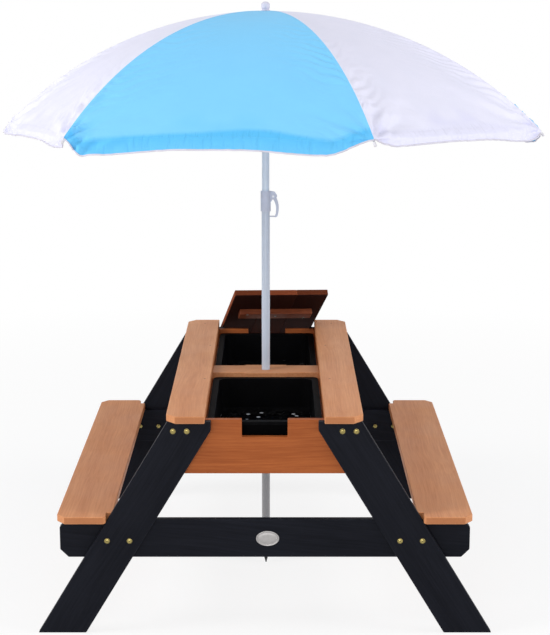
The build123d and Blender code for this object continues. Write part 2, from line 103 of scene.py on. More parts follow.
class PicnicBoardSettings(bpy.types.PropertyGroup):
    plank_pale: colour_setting("Plank Pale", "Light wood of top, seats and crossbar", (0.68, 0.31, 0.142))
    plank_dark: colour_setting("Plank Dark", "Grain lines of top, seats and crossbar", (0.48, 0.175, 0.065))
    apron_pale: colour_setting("Apron Pale", "Light wood of aprons, rails and ledges", (0.415, 0.115, 0.029))
    apron_dark: colour_setting("Apron Dark", "Grain lines of aprons, rails and ledges", (0.24, 0.053, 0.011))
    frame_pale: colour_setting("Frame Pale", "Dark stain of legs and seat beams", (0.0115, 0.0125, 0.018))
    frame_dark: colour_setting("Frame Dark", "Grain lines of legs and seat beams", (0.0050, 0.0056, 0.0085))
    lid_pale: colour_setting("Lid Pale", "Light wood of the lid, not its underside", (0.32, 0.085, 0.032))
    lid_dark: colour_setting("Lid Dark", "Grain lines of the lid, not its underside", (0.15, 0.034, 0.013))
    # The lid's underside colour is painted shade, a dark colour for the faces that look down
    lid_underside_shade: colour_setting("Lid Underside Shade", "Painted shade on the lid's underside", (0.017, 0.0075, 0.0075))
    line_spacing: length_setting("Grain Spacing", "Distance between grain lines", 0.0036)


class PicnicPoleSettings(bpy.types.PropertyGroup):
    paint: colour_setting("Pole Paint", "Pale paint of the upper tube", (0.64, 0.715, 0.80))
    lower_paint: colour_setting("Lower Tube Paint", "Paint of the lower tube", (0.51, 0.565, 0.655))
    # The lower tube's darker grey under the table is painted shade
    table_shade_grey: colour_setting("Table Shade", "Painted shade on the lower tube under the table", (0.25, 0.25, 0.26))
    collar: colour_setting("Collar", "Plastic of the height collar and its lever", (0.54, 0.57, 0.67))
    bin_black: colour_setting("Bin Black", "Black plastic of the bins", (0.0016, 0.0016, 0.002))
    hub_black: colour_setting("Hub Black", "Plastic of hub, runner and spike", (0.014, 0.014, 0.016))
    finial: colour_setting("Finial", "Plastic of the knob on top", (0.64, 0.63, 0.74))


class PicnicBoltSettings(bpy.types.PropertyGroup):
    head_radius: length_setting("Head Radius", "Radius of a bolt's domed head", 0.0050)
    head_height: length_setting("Head Height", "Height of a bolt's domed head", 0.0032)
    washer_radius: length_setting("Washer Radius", "Radius of the washer under a head", 0.0059)
    nut_width: length_setting("Nut Width", "Width of a nut over its flats", 0.010)
    nut_height: length_setting("Nut Height", "Height of a nut", 0.005)
    upper_out: length_setting("Upper Bolts", "Upper bolts' distance from the middle", 0.18225)
    lower_out: length_setting("Lower Bolts", "Lower bolts' distance from the middle", 0.3195)
    upper_gap: length_setting("Upper Gap", "Distance between a leg's upper bolts", 0.030)
    lower_gap: length_setting("Lower Gap", "Distance between a leg's lower bolts", 0.049)
    upper_height: length_setting("Upper Height", "Height of the upper bolts", 0.463)
    lower_height: length_setting("Lower Height", "Height of the lower bolts", 0.2145)
    zinc: colour_setting("Yellow Zinc", "Colour of bolts and nuts", (0.37, 0.30, 0.11))


class PicnicPlateSettings(bpy.types.PropertyGroup):
    width: length_setting("Width", "Width of the blank oval plate", 0.051)
    height: length_setting("Height", "Height of the blank oval plate", 0.0345)
    thickness: length_setting("Thickness", "Thickness of the blank oval plate", 0.0022)
    rim: length_setting("Rim", "Width of the plate's raised rim", 0.0032)
    beside: length_setting("Beside the Middle", "How far right of the middle it sits", 0.006)
    metal: colour_setting("Metal", "Colour of the plate", (0.39, 0.375, 0.37))


class PicnicCanopySettings(bpy.types.PropertyGroup):
    radius: length_setting("Radius", "From the pole to a rib's tip", 0.642)
    top: length_setting("Top", "Height of the cloth's top along the pole", 1.338)
    drop: length_setting("Drop", "From the top down to a rib's tip", 0.272)
    opening: length_setting("Opening", "Radius of the hole round the finial", 0.009)
    first_rib: FloatProperty(
        name="First Rib", description="Turn of the first rib from the near end",
        subtype="ANGLE", unit="ROTATION", default=math.radians(-40),
    )
    rows: IntProperty(name="Rows", description="Mesh rows from top to rim", min=12, default=92)
    hem_rows: IntProperty(name="Hem Rows", description="Mesh rows in the hem", min=4, default=14)
    columns: IntProperty(name="Columns", description="Mesh columns in half a gore", min=8, default=40)
    sag: length_setting("Sag", "How far a gore sinks between its ribs", 0.004)
    pucker: length_setting("Pucker", "Depth of the short creases along a seam", 0.0068)
    corner_fold: length_setting("Corner Folds", "Depth of the creases that fan from a rib's tip", 0.0075)
    hem_wave: length_setting("Hem Waves", "Depth of the waves along the hem", 0.0042)
    piping: length_setting("Piping", "Thickness of the white piping", 0.0036)
    blue: colour_setting("Blue", "Sky-blue cloth", (0.205, 0.60, 0.94))
    white: colour_setting("White", "Cool white cloth", (0.80, 0.80, 0.95))
    # The piping's colour is a greyer lavender than white, painting its shade
    piping_grey_shade: colour_setting("Piping Grey Shade", "White piping along the hem", (0.66, 0.64, 0.74))
    folded_share: share_setting("Folded Share", "Width that is left of a gore when folded", 0.26)


class PicnicStudioSettings(bpy.types.PropertyGroup):
    camera_place: FloatVectorProperty(
        name="Camera Place", description="Where the camera stands",
        subtype="TRANSLATION", unit="LENGTH", size=3, default=(0.0222, -3.7749, 1.4414),
    )
    camera_tilt: FloatProperty(
        name="Camera Tilt", description="Camera's tilt up from straight down",
        subtype="ANGLE", unit="ROTATION", default=math.radians(77.48),
    )
    lens: FloatProperty(name="Lens", description="Focal length in millimetres", min=10, default=90.14)
    key_power: FloatProperty(name="Key Lamp", description="Power of the left lamp in watts", default=96)
    fill_power: FloatProperty(name="Fill Lamp", description="Power of the right lamp in watts", default=80)
    front_power: FloatProperty(name="Front Lamp", description="Power of the front lamp in watts", default=62)
    sky_light: FloatProperty(name="Room Light", description="Strength of the light all round", default=0.40)
    floor: colour_setting("Floor", "Pale floor", (0.93, 0.93, 0.94))


# Nodes and node groups


def add_node(tree, kind, inputs=(), **settings):
    """One shader node. inputs maps its sockets to values or to other nodes' outputs."""
    node = tree.nodes.new("ShaderNode" + kind)
    for name, value in settings.items():
        setattr(node, name, value)
    for name, value in dict(inputs).items():
        if isinstance(value, bpy.types.NodeSocket):
            tree.links.new(value, node.inputs[name])
        else:
            node.inputs[name].default_value = value
    return node


def add_group(tree, group, inputs):
    """A group's node and its outputs."""
    return add_node(tree, "Group", inputs, node_tree=group).outputs


def sums(tree, operation, *values):
    """One Math node's result."""
    return add_node(tree, "Math", dict(enumerate(values)), operation=operation).outputs[0]


def vectors(tree, operation, first, second):
    """One Vector Math node's result, which is a number for a dot product."""
    node = add_node(tree, "VectorMath", {0: first, 1: second}, operation=operation)
    return node.outputs["Value" if operation == "DOT_PRODUCT" else "Vector"]


def ramp(tree, value, start, end, low=0.0, high=1.0):
    """A value that runs from low to high while the given one runs from start to end."""
    limits = {"From Min": start, "From Max": end, "To Min": low, "To Max": high}
    return add_node(tree, "MapRange", {"Value": value, **limits}).outputs[0]


def uneven(tree, place, **sockets):
    """A noise texture's value at each place."""
    return add_node(tree, "TexNoise", {"Vector": place, **sockets}).outputs[0]


def blend_colours(tree, share, first, second, amount=1.0):
    """The colour that lies a share of the way, times an amount, from first to second."""
    if amount != 1.0:
        share = sums(tree, "MULTIPLY", share, amount)
    ends = [end if isinstance(end, bpy.types.NodeSocket) else (*end, 1) for end in (first, second)]
    return add_node(tree, "Mix", {0: share, 6: ends[0], 7: ends[1]}, data_type="RGBA").outputs[2]


def start_group(name, inputs, outputs):
    """An empty node group, what it is given and where its results go."""
    group = bpy.data.node_groups.new(name, "ShaderNodeTree")
    for label, kind, value in inputs:
        socket = group.interface.new_socket(name=label, in_out="INPUT", socket_type="NodeSocket" + kind)
        if value is not None:
            socket.default_value = value
    for label, kind in outputs:
        group.interface.new_socket(name=label, in_out="OUTPUT", socket_type="NodeSocket" + kind)
    return group, group.nodes.new("NodeGroupInput").outputs, group.nodes.new("NodeGroupOutput").inputs


def board_grain():
    """Long fine grain lines along X, with slow bands, fibres and a few dark flecks."""
    if "Board grain" in bpy.data.node_groups:
        return bpy.data.node_groups["Board grain"]
    group, given, result = start_group(
        "Board grain",
        [
            ("Place", "Vector", None),
            ("Pale Wood", "Color", (0.6, 0.3, 0.15, 1)),
            ("Dark Wood", "Color", (0.4, 0.17, 0.08, 1)),
            ("Line Spacing", "Float", 0.0036),
            ("Line Strength", "Float", 0.5),
        ],
        [("Colour", "Color"), ("Height", "Float"), ("Dullness", "Float")],
    )
    place, strength = given["Place"], given["Line Strength"]
    sway = add_node(group, "TexNoise", {"Vector": place, "Scale": 3.2, "Detail": 1.0}).outputs["Color"]
    bent = vectors(group, "ADD", place, vectors(group, "MULTIPLY", sway, (0.0, 0.022, 0.022)))
    long = vectors(group, "MULTIPLY", bent, (0.03, 1.0, 1.0))
    per_line = sums(group, "DIVIDE", 1.0, given["Line Spacing"])
    lines = uneven(group, long, Scale=per_line, Detail=3.0, Roughness=0.6)
    fibres = uneven(group, long, Scale=1300.0, Detail=2.0)
    bands = uneven(group, long, Scale=22.0, Detail=2.0)
    mottle = uneven(group, bent, Scale=9.0, Detail=3.0)
    lined = sums(group, "MULTIPLY", ramp(group, lines, 0.34, 0.66), strength)
    soft = sums(group, "MULTIPLY_ADD", bands, 0.75, sums(group, "MULTIPLY", mottle, 0.45))
    whole = sums(group, "ADD", lined, sums(group, "MULTIPLY_ADD", fibres, 0.22, soft))
    share = ramp(group, whole, 0.45, sums(group, "ADD", strength, 0.95))
    colour = blend_colours(group, share, given["Dark Wood"], given["Pale Wood"])
    flecks = add_node(group, "TexVoronoi", {"Vector": long, "Scale": 60.0}, feature="F1").outputs["Distance"]
    flecked = blend_colours(group, ramp(group, flecks, 0.03, 0.09, 0.65, 1.0), given["Dark Wood"], colour)
    group.links.new(flecked, result["Colour"])
    group.links.new(sums(group, "MULTIPLY_ADD", fibres, 0.4, lines), result["Height"])
    group.links.new(mottle, result["Dullness"])
    return group


def edge_wear():
    """A broken mask along sharp edges."""
    if "Edge wear" in bpy.data.node_groups:
        return bpy.data.node_groups["Edge wear"]
    group, given, result = start_group(
        "Edge wear",
        [("Place", "Vector", None), ("Reach", "Float", 0.003), ("Breakup", "Float", 60.0)],
        [("Mask", "Float")],
    )
    rounded = add_node(group, "Bevel", {"Radius": given["Reach"]}, samples=6).outputs[0]
    flat = add_node(group, "NewGeometry").outputs["Normal"]
    sharp = ramp(group, vectors(group, "DOT_PRODUCT", rounded, flat), 0.995, 0.86)
    broken = ramp(group, uneven(group, given["Place"], Scale=given["Breakup"], Detail=4.0), 0.36, 0.62)
    group.links.new(sums(group, "MULTIPLY", sharp, broken), result["Mask"])
    return group


def handling_marks():
    """Smudges and dust in soft patches, and a fine uneven skin."""
    if "Handling marks" in bpy.data.node_groups:
        return bpy.data.node_groups["Handling marks"]
    group, given, result = start_group(
        "Handling marks",
        [("Place", "Vector", None), ("Patch Size", "Float", 0.05), ("Skin Size", "Float", 0.0012)],
        [("Smudges", "Float"), ("Skin", "Float")],
    )
    per_patch = sums(group, "DIVIDE", 1.0, given["Patch Size"])
    patches = uneven(group, given["Place"], Scale=per_patch, Detail=5.0, Roughness=0.62, Distortion=0.4)
    per_grain = sums(group, "DIVIDE", 1.0, given["Skin Size"])
    group.links.new(ramp(group, patches, 0.42, 0.72), result["Smudges"])
    group.links.new(uneven(group, given["Place"], Scale=per_grain, Detail=2.0), result["Skin"])
    return group


def woven_cloth():
    """A plain weave with its seam allowance and stitches, and masks of painted shade on the turned-down hem,
    its gathers and soft patches near it, from distances on the cloth.
    """
    if "Woven cloth" in bpy.data.node_groups:
        return bpy.data.node_groups["Woven cloth"]
    group, given, result = start_group(
        "Woven cloth",
        [
            ("From Seam", "Float", 0.1), ("Along Seam", "Float", 0.0),
            ("From Hem", "Float", 0.1), ("Along Hem", "Float", 0.0),
            ("Thread", "Float", 0.0007), ("Seam Width", "Float", 0.007), ("Hem Width", "Float", 0.030),
        ],
        [("Height", "Float"), ("Stitches", "Float"), ("Hem Shade", "Float"), ("Shade Patches", "Float"),
         ("Pleats", "Float"), ("Shade", "Float")],
    )
    from_seam, along_seam = given["From Seam"], given["Along Seam"]
    from_hem, along_hem = given["From Hem"], given["Along Hem"]

    def thread_wave(distance):
        turns = sums(group, "DIVIDE", sums(group, "MULTIPLY", distance, 2 * math.pi), given["Thread"])
        return sums(group, "SINE", turns)

    def doubled(distance, width):
        return ramp(group, sums(group, "SUBTRACT", width, distance), -0.0004, 0.0004)

    def stitch_line(distance, width, inset, along):
        line = sums(group, "SUBTRACT", width, inset)
        away = sums(group, "ABSOLUTE", sums(group, "SUBTRACT", distance, line))
        step = sums(group, "FRACT", sums(group, "DIVIDE", along, 0.0032))
        sewn = sums(group, "LESS_THAN", step, 0.72)
        return sums(group, "MULTIPLY", ramp(group, away, 0.0007, 0.0003), sewn)

    weave = sums(group, "MULTIPLY", thread_wave(from_seam), thread_wave(along_seam))
    double = sums(
        group, "MAXIMUM", doubled(from_seam, given["Seam Width"]), doubled(from_hem, given["Hem Width"])
    )
    stitches = sums(
        group, "MAXIMUM", stitch_line(from_seam, given["Seam Width"], 0.0014, along_seam),
        stitch_line(from_hem, given["Hem Width"], 0.0016, along_hem),
    )
    place = add_node(group, "CombineXYZ", {"X": from_seam, "Y": along_seam}).outputs[0]
    # Painted shade: the cloth that turns down above the hem is painted darker, most where it turns, up to a
    # slow wave
    slow_place = add_node(group, "CombineXYZ", {"X": along_hem, "Y": 0.37}).outputs[0]
    slow = uneven(group, slow_place, Scale=3.4, Detail=0.0)
    turned = sums(group, "MULTIPLY_ADD", slow, 0.075, sums(group, "SUBTRACT", given["Hem Width"], 0.026))
    below = ramp(group, sums(group, "SUBTRACT", turned, from_hem), -0.006, 0.006)
    hem_shade_mask = sums(group, "MULTIPLY", below, ramp(group, from_hem, 0.008, 0.032, 0.60, 1.0))
    # Painted shade: soft patches that fade out going up from the hem
    patch = ramp(group, uneven(group, place, Scale=11.0, Detail=1.0), 0.48, 0.66)
    shade_patches = sums(group, "MULTIPLY", patch, ramp(group, from_hem, 0.11, 0.03))
    # Small upright gathers where the hem is drawn in by its piping; in the colour they are painted shade
    drawn_out = sums(group, "MULTIPLY", from_hem, 0.22)
    upright = add_node(group, "CombineXYZ", {"X": along_hem, "Y": drawn_out}).outputs[0]
    gathers = uneven(group, upright, Scale=95.0, Detail=2.0, Roughness=0.4, Distortion=0.3)
    pleats = sums(group, "MULTIPLY", ramp(group, gathers, 0.50, 0.68), hem_shade_mask)
    crease = uneven(group, place, Scale=34.0, Detail=3.0, Roughness=0.5, Distortion=1.1)
    height = sums(group, "MULTIPLY_ADD", double, 0.5, sums(group, "MULTIPLY", weave, 0.06))
    for layer, amount in ((crease, 0.9), (stitches, -0.35), (pleats, -1.8)):
        height = sums(group, "MULTIPLY_ADD", layer, amount, height)
    shade = uneven(group, place, Scale=14.0, Detail=4.0)
    values = (height, stitches, hem_shade_mask, shade_patches, pleats, shade)
    for label, value in zip(("Height", "Stitches", "Hem Shade", "Shade Patches", "Pleats", "Shade"), values):
        group.links.new(value, result[label])
    return group


# Materials


def toned(colour, share, lift=0.0):
    """A colour times a share, with a little added, up to full."""
    return tuple(min(1.0, part * share + lift) for part in colour)


def start_material(name, **sockets):
    """A material with its shader, and its own fixed values on the shader's sockets."""
    material = bpy.data.materials.new(name)
    material.use_nodes = True
    shader = material.node_tree.nodes["Principled BSDF"]
    for label, value in sockets.items():
        shader.inputs[label.replace("_", " ")].default_value = value
    return material, material.node_tree, shader


def add_marks(tree, place, patch, skin):
    """The smudges and the skin of a handled surface."""
    sizes = {"Patch Size": patch, "Skin Size": skin}
    marks = add_group(tree, handling_marks(), {"Place": place, **sizes})
    return marks["Smudges"], marks["Skin"]


def add_wear(tree, place, reach, breakup):
    """Where edges are worn."""
    return add_group(tree, edge_wear(), {"Place": place, "Reach": reach, "Breakup": breakup})["Mask"]


def object_place(tree):
    """Where each point lies on its object, in metres."""
    return add_node(tree, "TexCoord").outputs["Object"]


def finish_surface(tree, shader, colour, rough, height, distance, strength):
    """Wires a surface's colour, roughness and raised skin to its shader."""
    bump = add_node(tree, "Bump", {"Height": height, "Distance": distance, "Strength": strength})
    for label, value in (("Base Color", colour), ("Roughness", rough), ("Normal", bump.outputs[0])):
        tree.links.new(value, shader.inputs[label])


def dress(node_name, material):
    """Gives a CAD node its material."""
    node = CAD[node_name]
    if not node.material_slots:
        node.data.materials.append(material)
    for slot in node.material_slots:
        slot.material = material


def board_axes(node_name):
    """Directions along, across and through a board, from its longest edge and its broadest face."""
    mesh = CAD[node_name].data
    points = [vertex.co for vertex in mesh.vertices]
    edges = [points[a] - points[b] for a, b in (edge.vertices for edge in mesh.edges)]
    along = max(edges, key=lambda edge: edge.length).normalized()
    through = max(mesh.polygons, key=lambda face: face.area).normal.copy()
    through = (through - along * through.dot(along)).normalized()
    return along, through.cross(along), through


def lid_up():
    """The direction out of the lid's upper face."""
    board = CAD["lid_board_middle"].data
    face = max(board.polygons, key=lambda polygon: polygon.area).normal.copy()
    return face if face.z > 0 else -face


def wood_material(node_name, finish, pale, dark, spacing, strength, roughness, wear, gloss=0.22, under=None):
    """Stained wood whose grain runs along its own board. Each board shows another part of the grain.

    wear says how worn the edges are, and the share and lift of the pale wood that shows there. under, when
    given, is painted shade: a dark colour for the faces that look down from the lid.
    """
    along, across, through = board_axes(node_name)
    worn_share, edge_share, edge_lift = wear
    material, tree, shader = start_material(f"{finish} on {node_name}", Specular_IOR_Level=gloss)
    place = object_place(tree)
    shift = noise.random_vector() * 3
    turn = Matrix((along, across, through)).to_euler("XYZ")
    laid = add_node(tree, "Mapping", {"Vector": place, "Rotation": turn, "Location": shift}).outputs[0]
    lines = {"Line Spacing": spacing, "Line Strength": strength}
    woods = {"Pale Wood": (*pale, 1), "Dark Wood": (*dark, 1)}
    grain = add_group(tree, board_grain(), {"Place": laid, **woods, **lines})
    worn = add_wear(tree, place, reach=0.0022, breakup=70.0)
    smudges, _ = add_marks(tree, place, patch=0.11, skin=0.0009)
    normal = add_node(tree, "NewGeometry").outputs["Normal"]
    colour = grain["Colour"]
    # Painted shade: faces that look down from the lid take the dark underside colour
    if under is not None:
        below = ramp(tree, vectors(tree, "DOT_PRODUCT", normal, -lid_up()), 0.5, 0.66)
        depth = ramp(tree, grain["Height"], 0.0, 1.0, 0.0, 0.3)
        colour = blend_colours(tree, below, colour, blend_colours(tree, depth, under, toned(dark, 0.5)))
    facing_end = sums(tree, "ABSOLUTE", vectors(tree, "DOT_PRODUCT", normal, along))
    end_grain = ramp(tree, facing_end, 0.7, 0.95, 0.0, 0.75)
    shaded = blend_colours(tree, end_grain, colour, toned(dark, 0.8))
    rubbed = blend_colours(tree, worn, shaded, toned(pale, edge_share, edge_lift), amount=worn_share)
    dull = ramp(tree, grain["Dullness"], 0.0, 1.0, roughness - 0.08, roughness + 0.08)
    rough = sums(tree, "MULTIPLY_ADD", smudges, 0.08, dull)
    finish_surface(tree, shader, rubbed, rough, grain["Height"], distance=0.00022, strength=0.6)
    return material


def plastic_material(name, colour, roughness, patch=0.02, skin=0.0009, depth=0.0001):
    """Moulded plastic with a fine skin, soft smudges and slightly rubbed edges."""
    material, tree, shader = start_material(name)
    place = object_place(tree)
    smudges, grained = add_marks(tree, place, patch, skin)
    soft = blend_colours(tree, smudges, colour, toned(colour, 0.88, 0.008), amount=0.5)
    worn = add_wear(tree, place, reach=0.0016, breakup=90.0)
    rubbed = blend_colours(tree, worn, soft, toned(colour, 1.18, 0.006), amount=0.7)
    rough = sums(tree, "MULTIPLY_ADD", smudges, 0.12, roughness)
    finish_surface(tree, shader, rubbed, rough, grained, depth, strength=0.5)
    return material


def bin_material(black, depth):
    """Black moulded plastic with a grained skin, and glossy ripples low down inside with small bright glints
    painted into its colour there.
    """
    material, tree, shader = start_material("Black bin plastic", Specular_IOR_Level=0.022)
    coordinates = add_node(tree, "TexCoord").outputs
    place, share = coordinates["Object"], coordinates["Generated"]
    smudges, skin = add_marks(tree, place, patch=0.05, skin=0.0011)
    dusty = blend_colours(tree, smudges, black, toned(black, 1.0, 0.0015), amount=0.5)
    tall = add_node(tree, "SeparateXYZ", {0: share}).outputs[2]
    # The gloss fades out between these heights over the bin's foot, in metres
    glossy_up_to, dull_from = 0.012, 0.030
    lower = ramp(tree, tall, glossy_up_to / depth, dull_from / depth, 1.0, 0.0)
    # Inside, the walls and the floor face the middle of the bin
    from_middle = vectors(tree, "SUBTRACT", share, (0.5, 0.5, 0.5))
    faced = vectors(tree, "DOT_PRODUCT", from_middle, add_node(tree, "NewGeometry").outputs["Normal"])
    low = sums(tree, "MULTIPLY", lower, sums(tree, "LESS_THAN", faced, 0.0))
    # Painted highlights: small stretched bright spots low down inside stand for glints
    stretched = vectors(tree, "MULTIPLY", place, (0.5, 0.9, 1.5))
    cells = add_node(tree, "TexVoronoi", {"Vector": stretched, "Scale": 60.0}, feature="F1").outputs
    painted_glints = sums(tree, "MULTIPLY", ramp(tree, cells["Distance"], 0.17, 0.12), low)
    glint_painted = blend_colours(tree, painted_glints, dusty, (0.62, 0.64, 0.68))
    worn = add_wear(tree, place, reach=0.0016, breakup=60.0)
    rubbed = blend_colours(tree, worn, glint_painted, (0.03, 0.031, 0.034), amount=0.6)
    ripples = uneven(tree, place, Scale=75.0, Detail=2.0, Distortion=0.6)
    rippled = sums(tree, "MULTIPLY", sums(tree, "MULTIPLY", ripples, low), 12.0)
    height = sums(tree, "MULTIPLY_ADD", skin, 0.3, rippled)
    rough = sums(tree, "MULTIPLY_ADD", low, -0.48, 0.56)
    finish_surface(tree, shader, rubbed, rough, height, distance=0.0006, strength=0.8)
    return material


def painted_tube_material(name, colour, foot=None, foot_height=0.0):
    """Satin paint on steel tube, with faint streaks along it that are painted reflections, and small scuffs.
    Below a given height it takes the foot colour, as painted shade under the table.
    """
    material, tree, shader = start_material(name, Coat_Weight=0.25, Coat_Roughness=0.2)
    place = object_place(tree)
    # Painted reflections: faint streaks along the tube
    runs = uneven(tree, vectors(tree, "MULTIPLY", place, (1.0, 1.0, 0.05)), Scale=160.0, Detail=3.0)
    smudges, skin = add_marks(tree, place, patch=0.04, skin=0.0011)
    drawn = blend_colours(tree, runs, toned(colour, 0.93), toned(colour, 1.05))
    scuffed = blend_colours(tree, smudges, drawn, toned(colour, 0.86), amount=0.35)
    # Painted shade: below the foot height the tube is painted the darker foot colour
    if foot is not None:
        tall, fade = add_node(tree, "SeparateXYZ", {0: place}).outputs[2], 0.012
        scuffed = blend_colours(tree, ramp(tree, tall, foot_height, foot_height + fade), foot, scuffed)
    worn = add_wear(tree, place, reach=0.001, breakup=150.0)
    rubbed = blend_colours(tree, worn, scuffed, (0.30, 0.31, 0.33), amount=0.6)
    rough = ramp(tree, smudges, 0.0, 1.0, 0.32, 0.46)
    finish_surface(tree, shader, rubbed, rough, skin, distance=0.00008, strength=0.4)
    return material


def plated_material(name, colour, roughness, grime):
    """Plated metal with a fine skin, dull patches and bright edges where it is rubbed."""
    material, tree, shader = start_material(name, Metallic=1.0)
    place = object_place(tree)
    smudges, skin = add_marks(tree, place, patch=0.012, skin=0.0006)
    patchy = blend_colours(tree, smudges, colour, toned(colour, grime), amount=0.6)
    worn = add_wear(tree, place, reach=0.0008, breakup=300.0)
    bright = blend_colours(tree, worn, patchy, toned(colour, 1.2))
    rough = ramp(tree, smudges, 0.0, 1.0, roughness, roughness + 0.2)
    finish_surface(tree, shader, bright, rough, skin, distance=0.00006, strength=0.5)
    return material


def cloth_material(name, colour, hem_shade_tone, patch_shade_tone):
    """Thin woven cloth, softly creased, with doubled seams and hem. The tones multiply its colour: one paints
    shade on the turned-down hem and in its gathers, the other paints soft patches of shade near the hem.
    """
    material, tree, shader = start_material(
        name, Sheen_Weight=0.08, Sheen_Roughness=0.5, Specular_IOR_Level=0.25
    )
    distances = {}
    for edge in ("seam", "hem"):
        layer = add_node(tree, "UVMap", uv_map=edge).outputs[0]
        parted = add_node(tree, "SeparateXYZ", {0: layer}).outputs
        distances.update({f"From {edge.title()}": parted[0], f"Along {edge.title()}": parted[1]})
    cloth = add_group(tree, woven_cloth(), distances)

    def tinted(tone):
        return tuple(part * share for part, share in zip(colour, tone))

    shaded = blend_colours(tree, cloth["Shade"], tinted((0.95, 0.96, 0.97)), tinted((1.04, 1.03, 1.02)))
    # Painted shade: soft patches near the hem are painted darker
    patch_shaded = blend_colours(tree, cloth["Shade Patches"], shaded, tinted(patch_shade_tone))
    # Painted shade: the turned-down hem and its gathers are painted darker
    hem_shaded = blend_colours(tree, cloth["Hem Shade"], patch_shaded, tinted(hem_shade_tone))
    pleat_shaded = blend_colours(tree, cloth["Pleats"], hem_shaded, tinted(toned(hem_shade_tone, 0.85)), amount=0.3)
    stitched = blend_colours(tree, cloth["Stitches"], pleat_shaded, tinted((1.1, 1.05, 1.02)), amount=0.3)
    rough = ramp(tree, cloth["Shade"], 0.0, 1.0, 0.62, 0.78)
    finish_surface(tree, shader, stitched, rough, cloth["Height"], distance=0.0012, strength=0.55)
    return material


def piping_material(colour):
    """The white piping, a tightly wound cloth, in a greyer lavender that paints its shade."""
    material, tree, shader = start_material("White hem piping", Sheen_Weight=0.15, Specular_IOR_Level=0.3)
    place = object_place(tree)
    smudges, skin = add_marks(tree, place, patch=0.03, skin=0.0007)
    smudged = blend_colours(tree, smudges, colour, toned(colour, 0.86))
    rough = ramp(tree, smudges, 0.0, 1.0, 0.6, 0.75)
    finish_surface(tree, shader, smudged, rough, skin, distance=0.0003, strength=0.6)
    return material


# Meshes


def add_piece(name, points, faces, material, smooth=True):
    """One mesh object with its material."""
    mesh = bpy.data.meshes.new(name)
    mesh.from_pydata([tuple(point) for point in points], [], faces)
    mesh.validate()
    for face in mesh.polygons:
        face.use_smooth = smooth
    mesh.materials.append(material)
    piece = bpy.data.objects.new(name, mesh)
    bpy.context.scene.collection.objects.link(piece)
    return piece


def ring_faces(rings, sides):
    """The faces between rings of points that have the same number of sides."""
    faces = []
    for first in range(0, (rings - 1) * sides, sides):
        for step in range(sides):
            ahead = (step + 1) % sides
            faces.append((first + step, first + ahead, first + sides + ahead, first + sides + step))
    return faces


def last_ring(rings, sides):
    """The face that closes the last of the rings."""
    return tuple(range((rings - 1) * sides, rings * sides))


def turned_mesh(rings, sides, place, up, close_start=False):
    """Points and faces of rings (radius, height, corners), where corners shapes a ring as a polygon.

    The heights run along up from place.
    """
    points, lean = [], Vector((0, 0, 1)).rotation_difference(Vector(up)).to_matrix()
    for radius, height, corners in rings:
        for step in range(sides):
            turn = 2 * math.pi * step / sides
            reach = radius
            if corners:
                part = 2 * math.pi / corners
                reach = radius / math.cos((turn % part) - part / 2)
            flat = Vector((reach * math.cos(turn), reach * math.sin(turn), height))
            points.append(Vector(place) + lean @ flat)
    faces = ring_faces(len(rings), sides)
    if close_start:
        faces.append(tuple(reversed(range(sides))))
    faces.append(last_ring(len(rings), sides))
    return points, faces


def join_parts(name, parts, material):
    """One piece made of several (points, faces)."""
    points, faces = [], []
    for part_points, part_faces in parts:
        first = len(points)
        points.extend(part_points)
        faces.extend(tuple(first + number for number in face) for face in part_faces)
    return add_piece(name, points, faces, material)


def soften(piece, angle=35):
    """Smooth shading that keeps edges sharper than the angle."""
    mesh = piece.data
    work = bmesh.new()
    work.from_mesh(mesh)
    bmesh.ops.recalc_face_normals(work, faces=work.faces)
    for edge in work.edges:
        edge.smooth = len(edge.link_faces) == 2 and edge.calc_face_angle(0) < math.radians(angle)
    for face in work.faces:
        face.smooth = True
    work.to_mesh(mesh)
    work.free()


# Boards, bins and pole


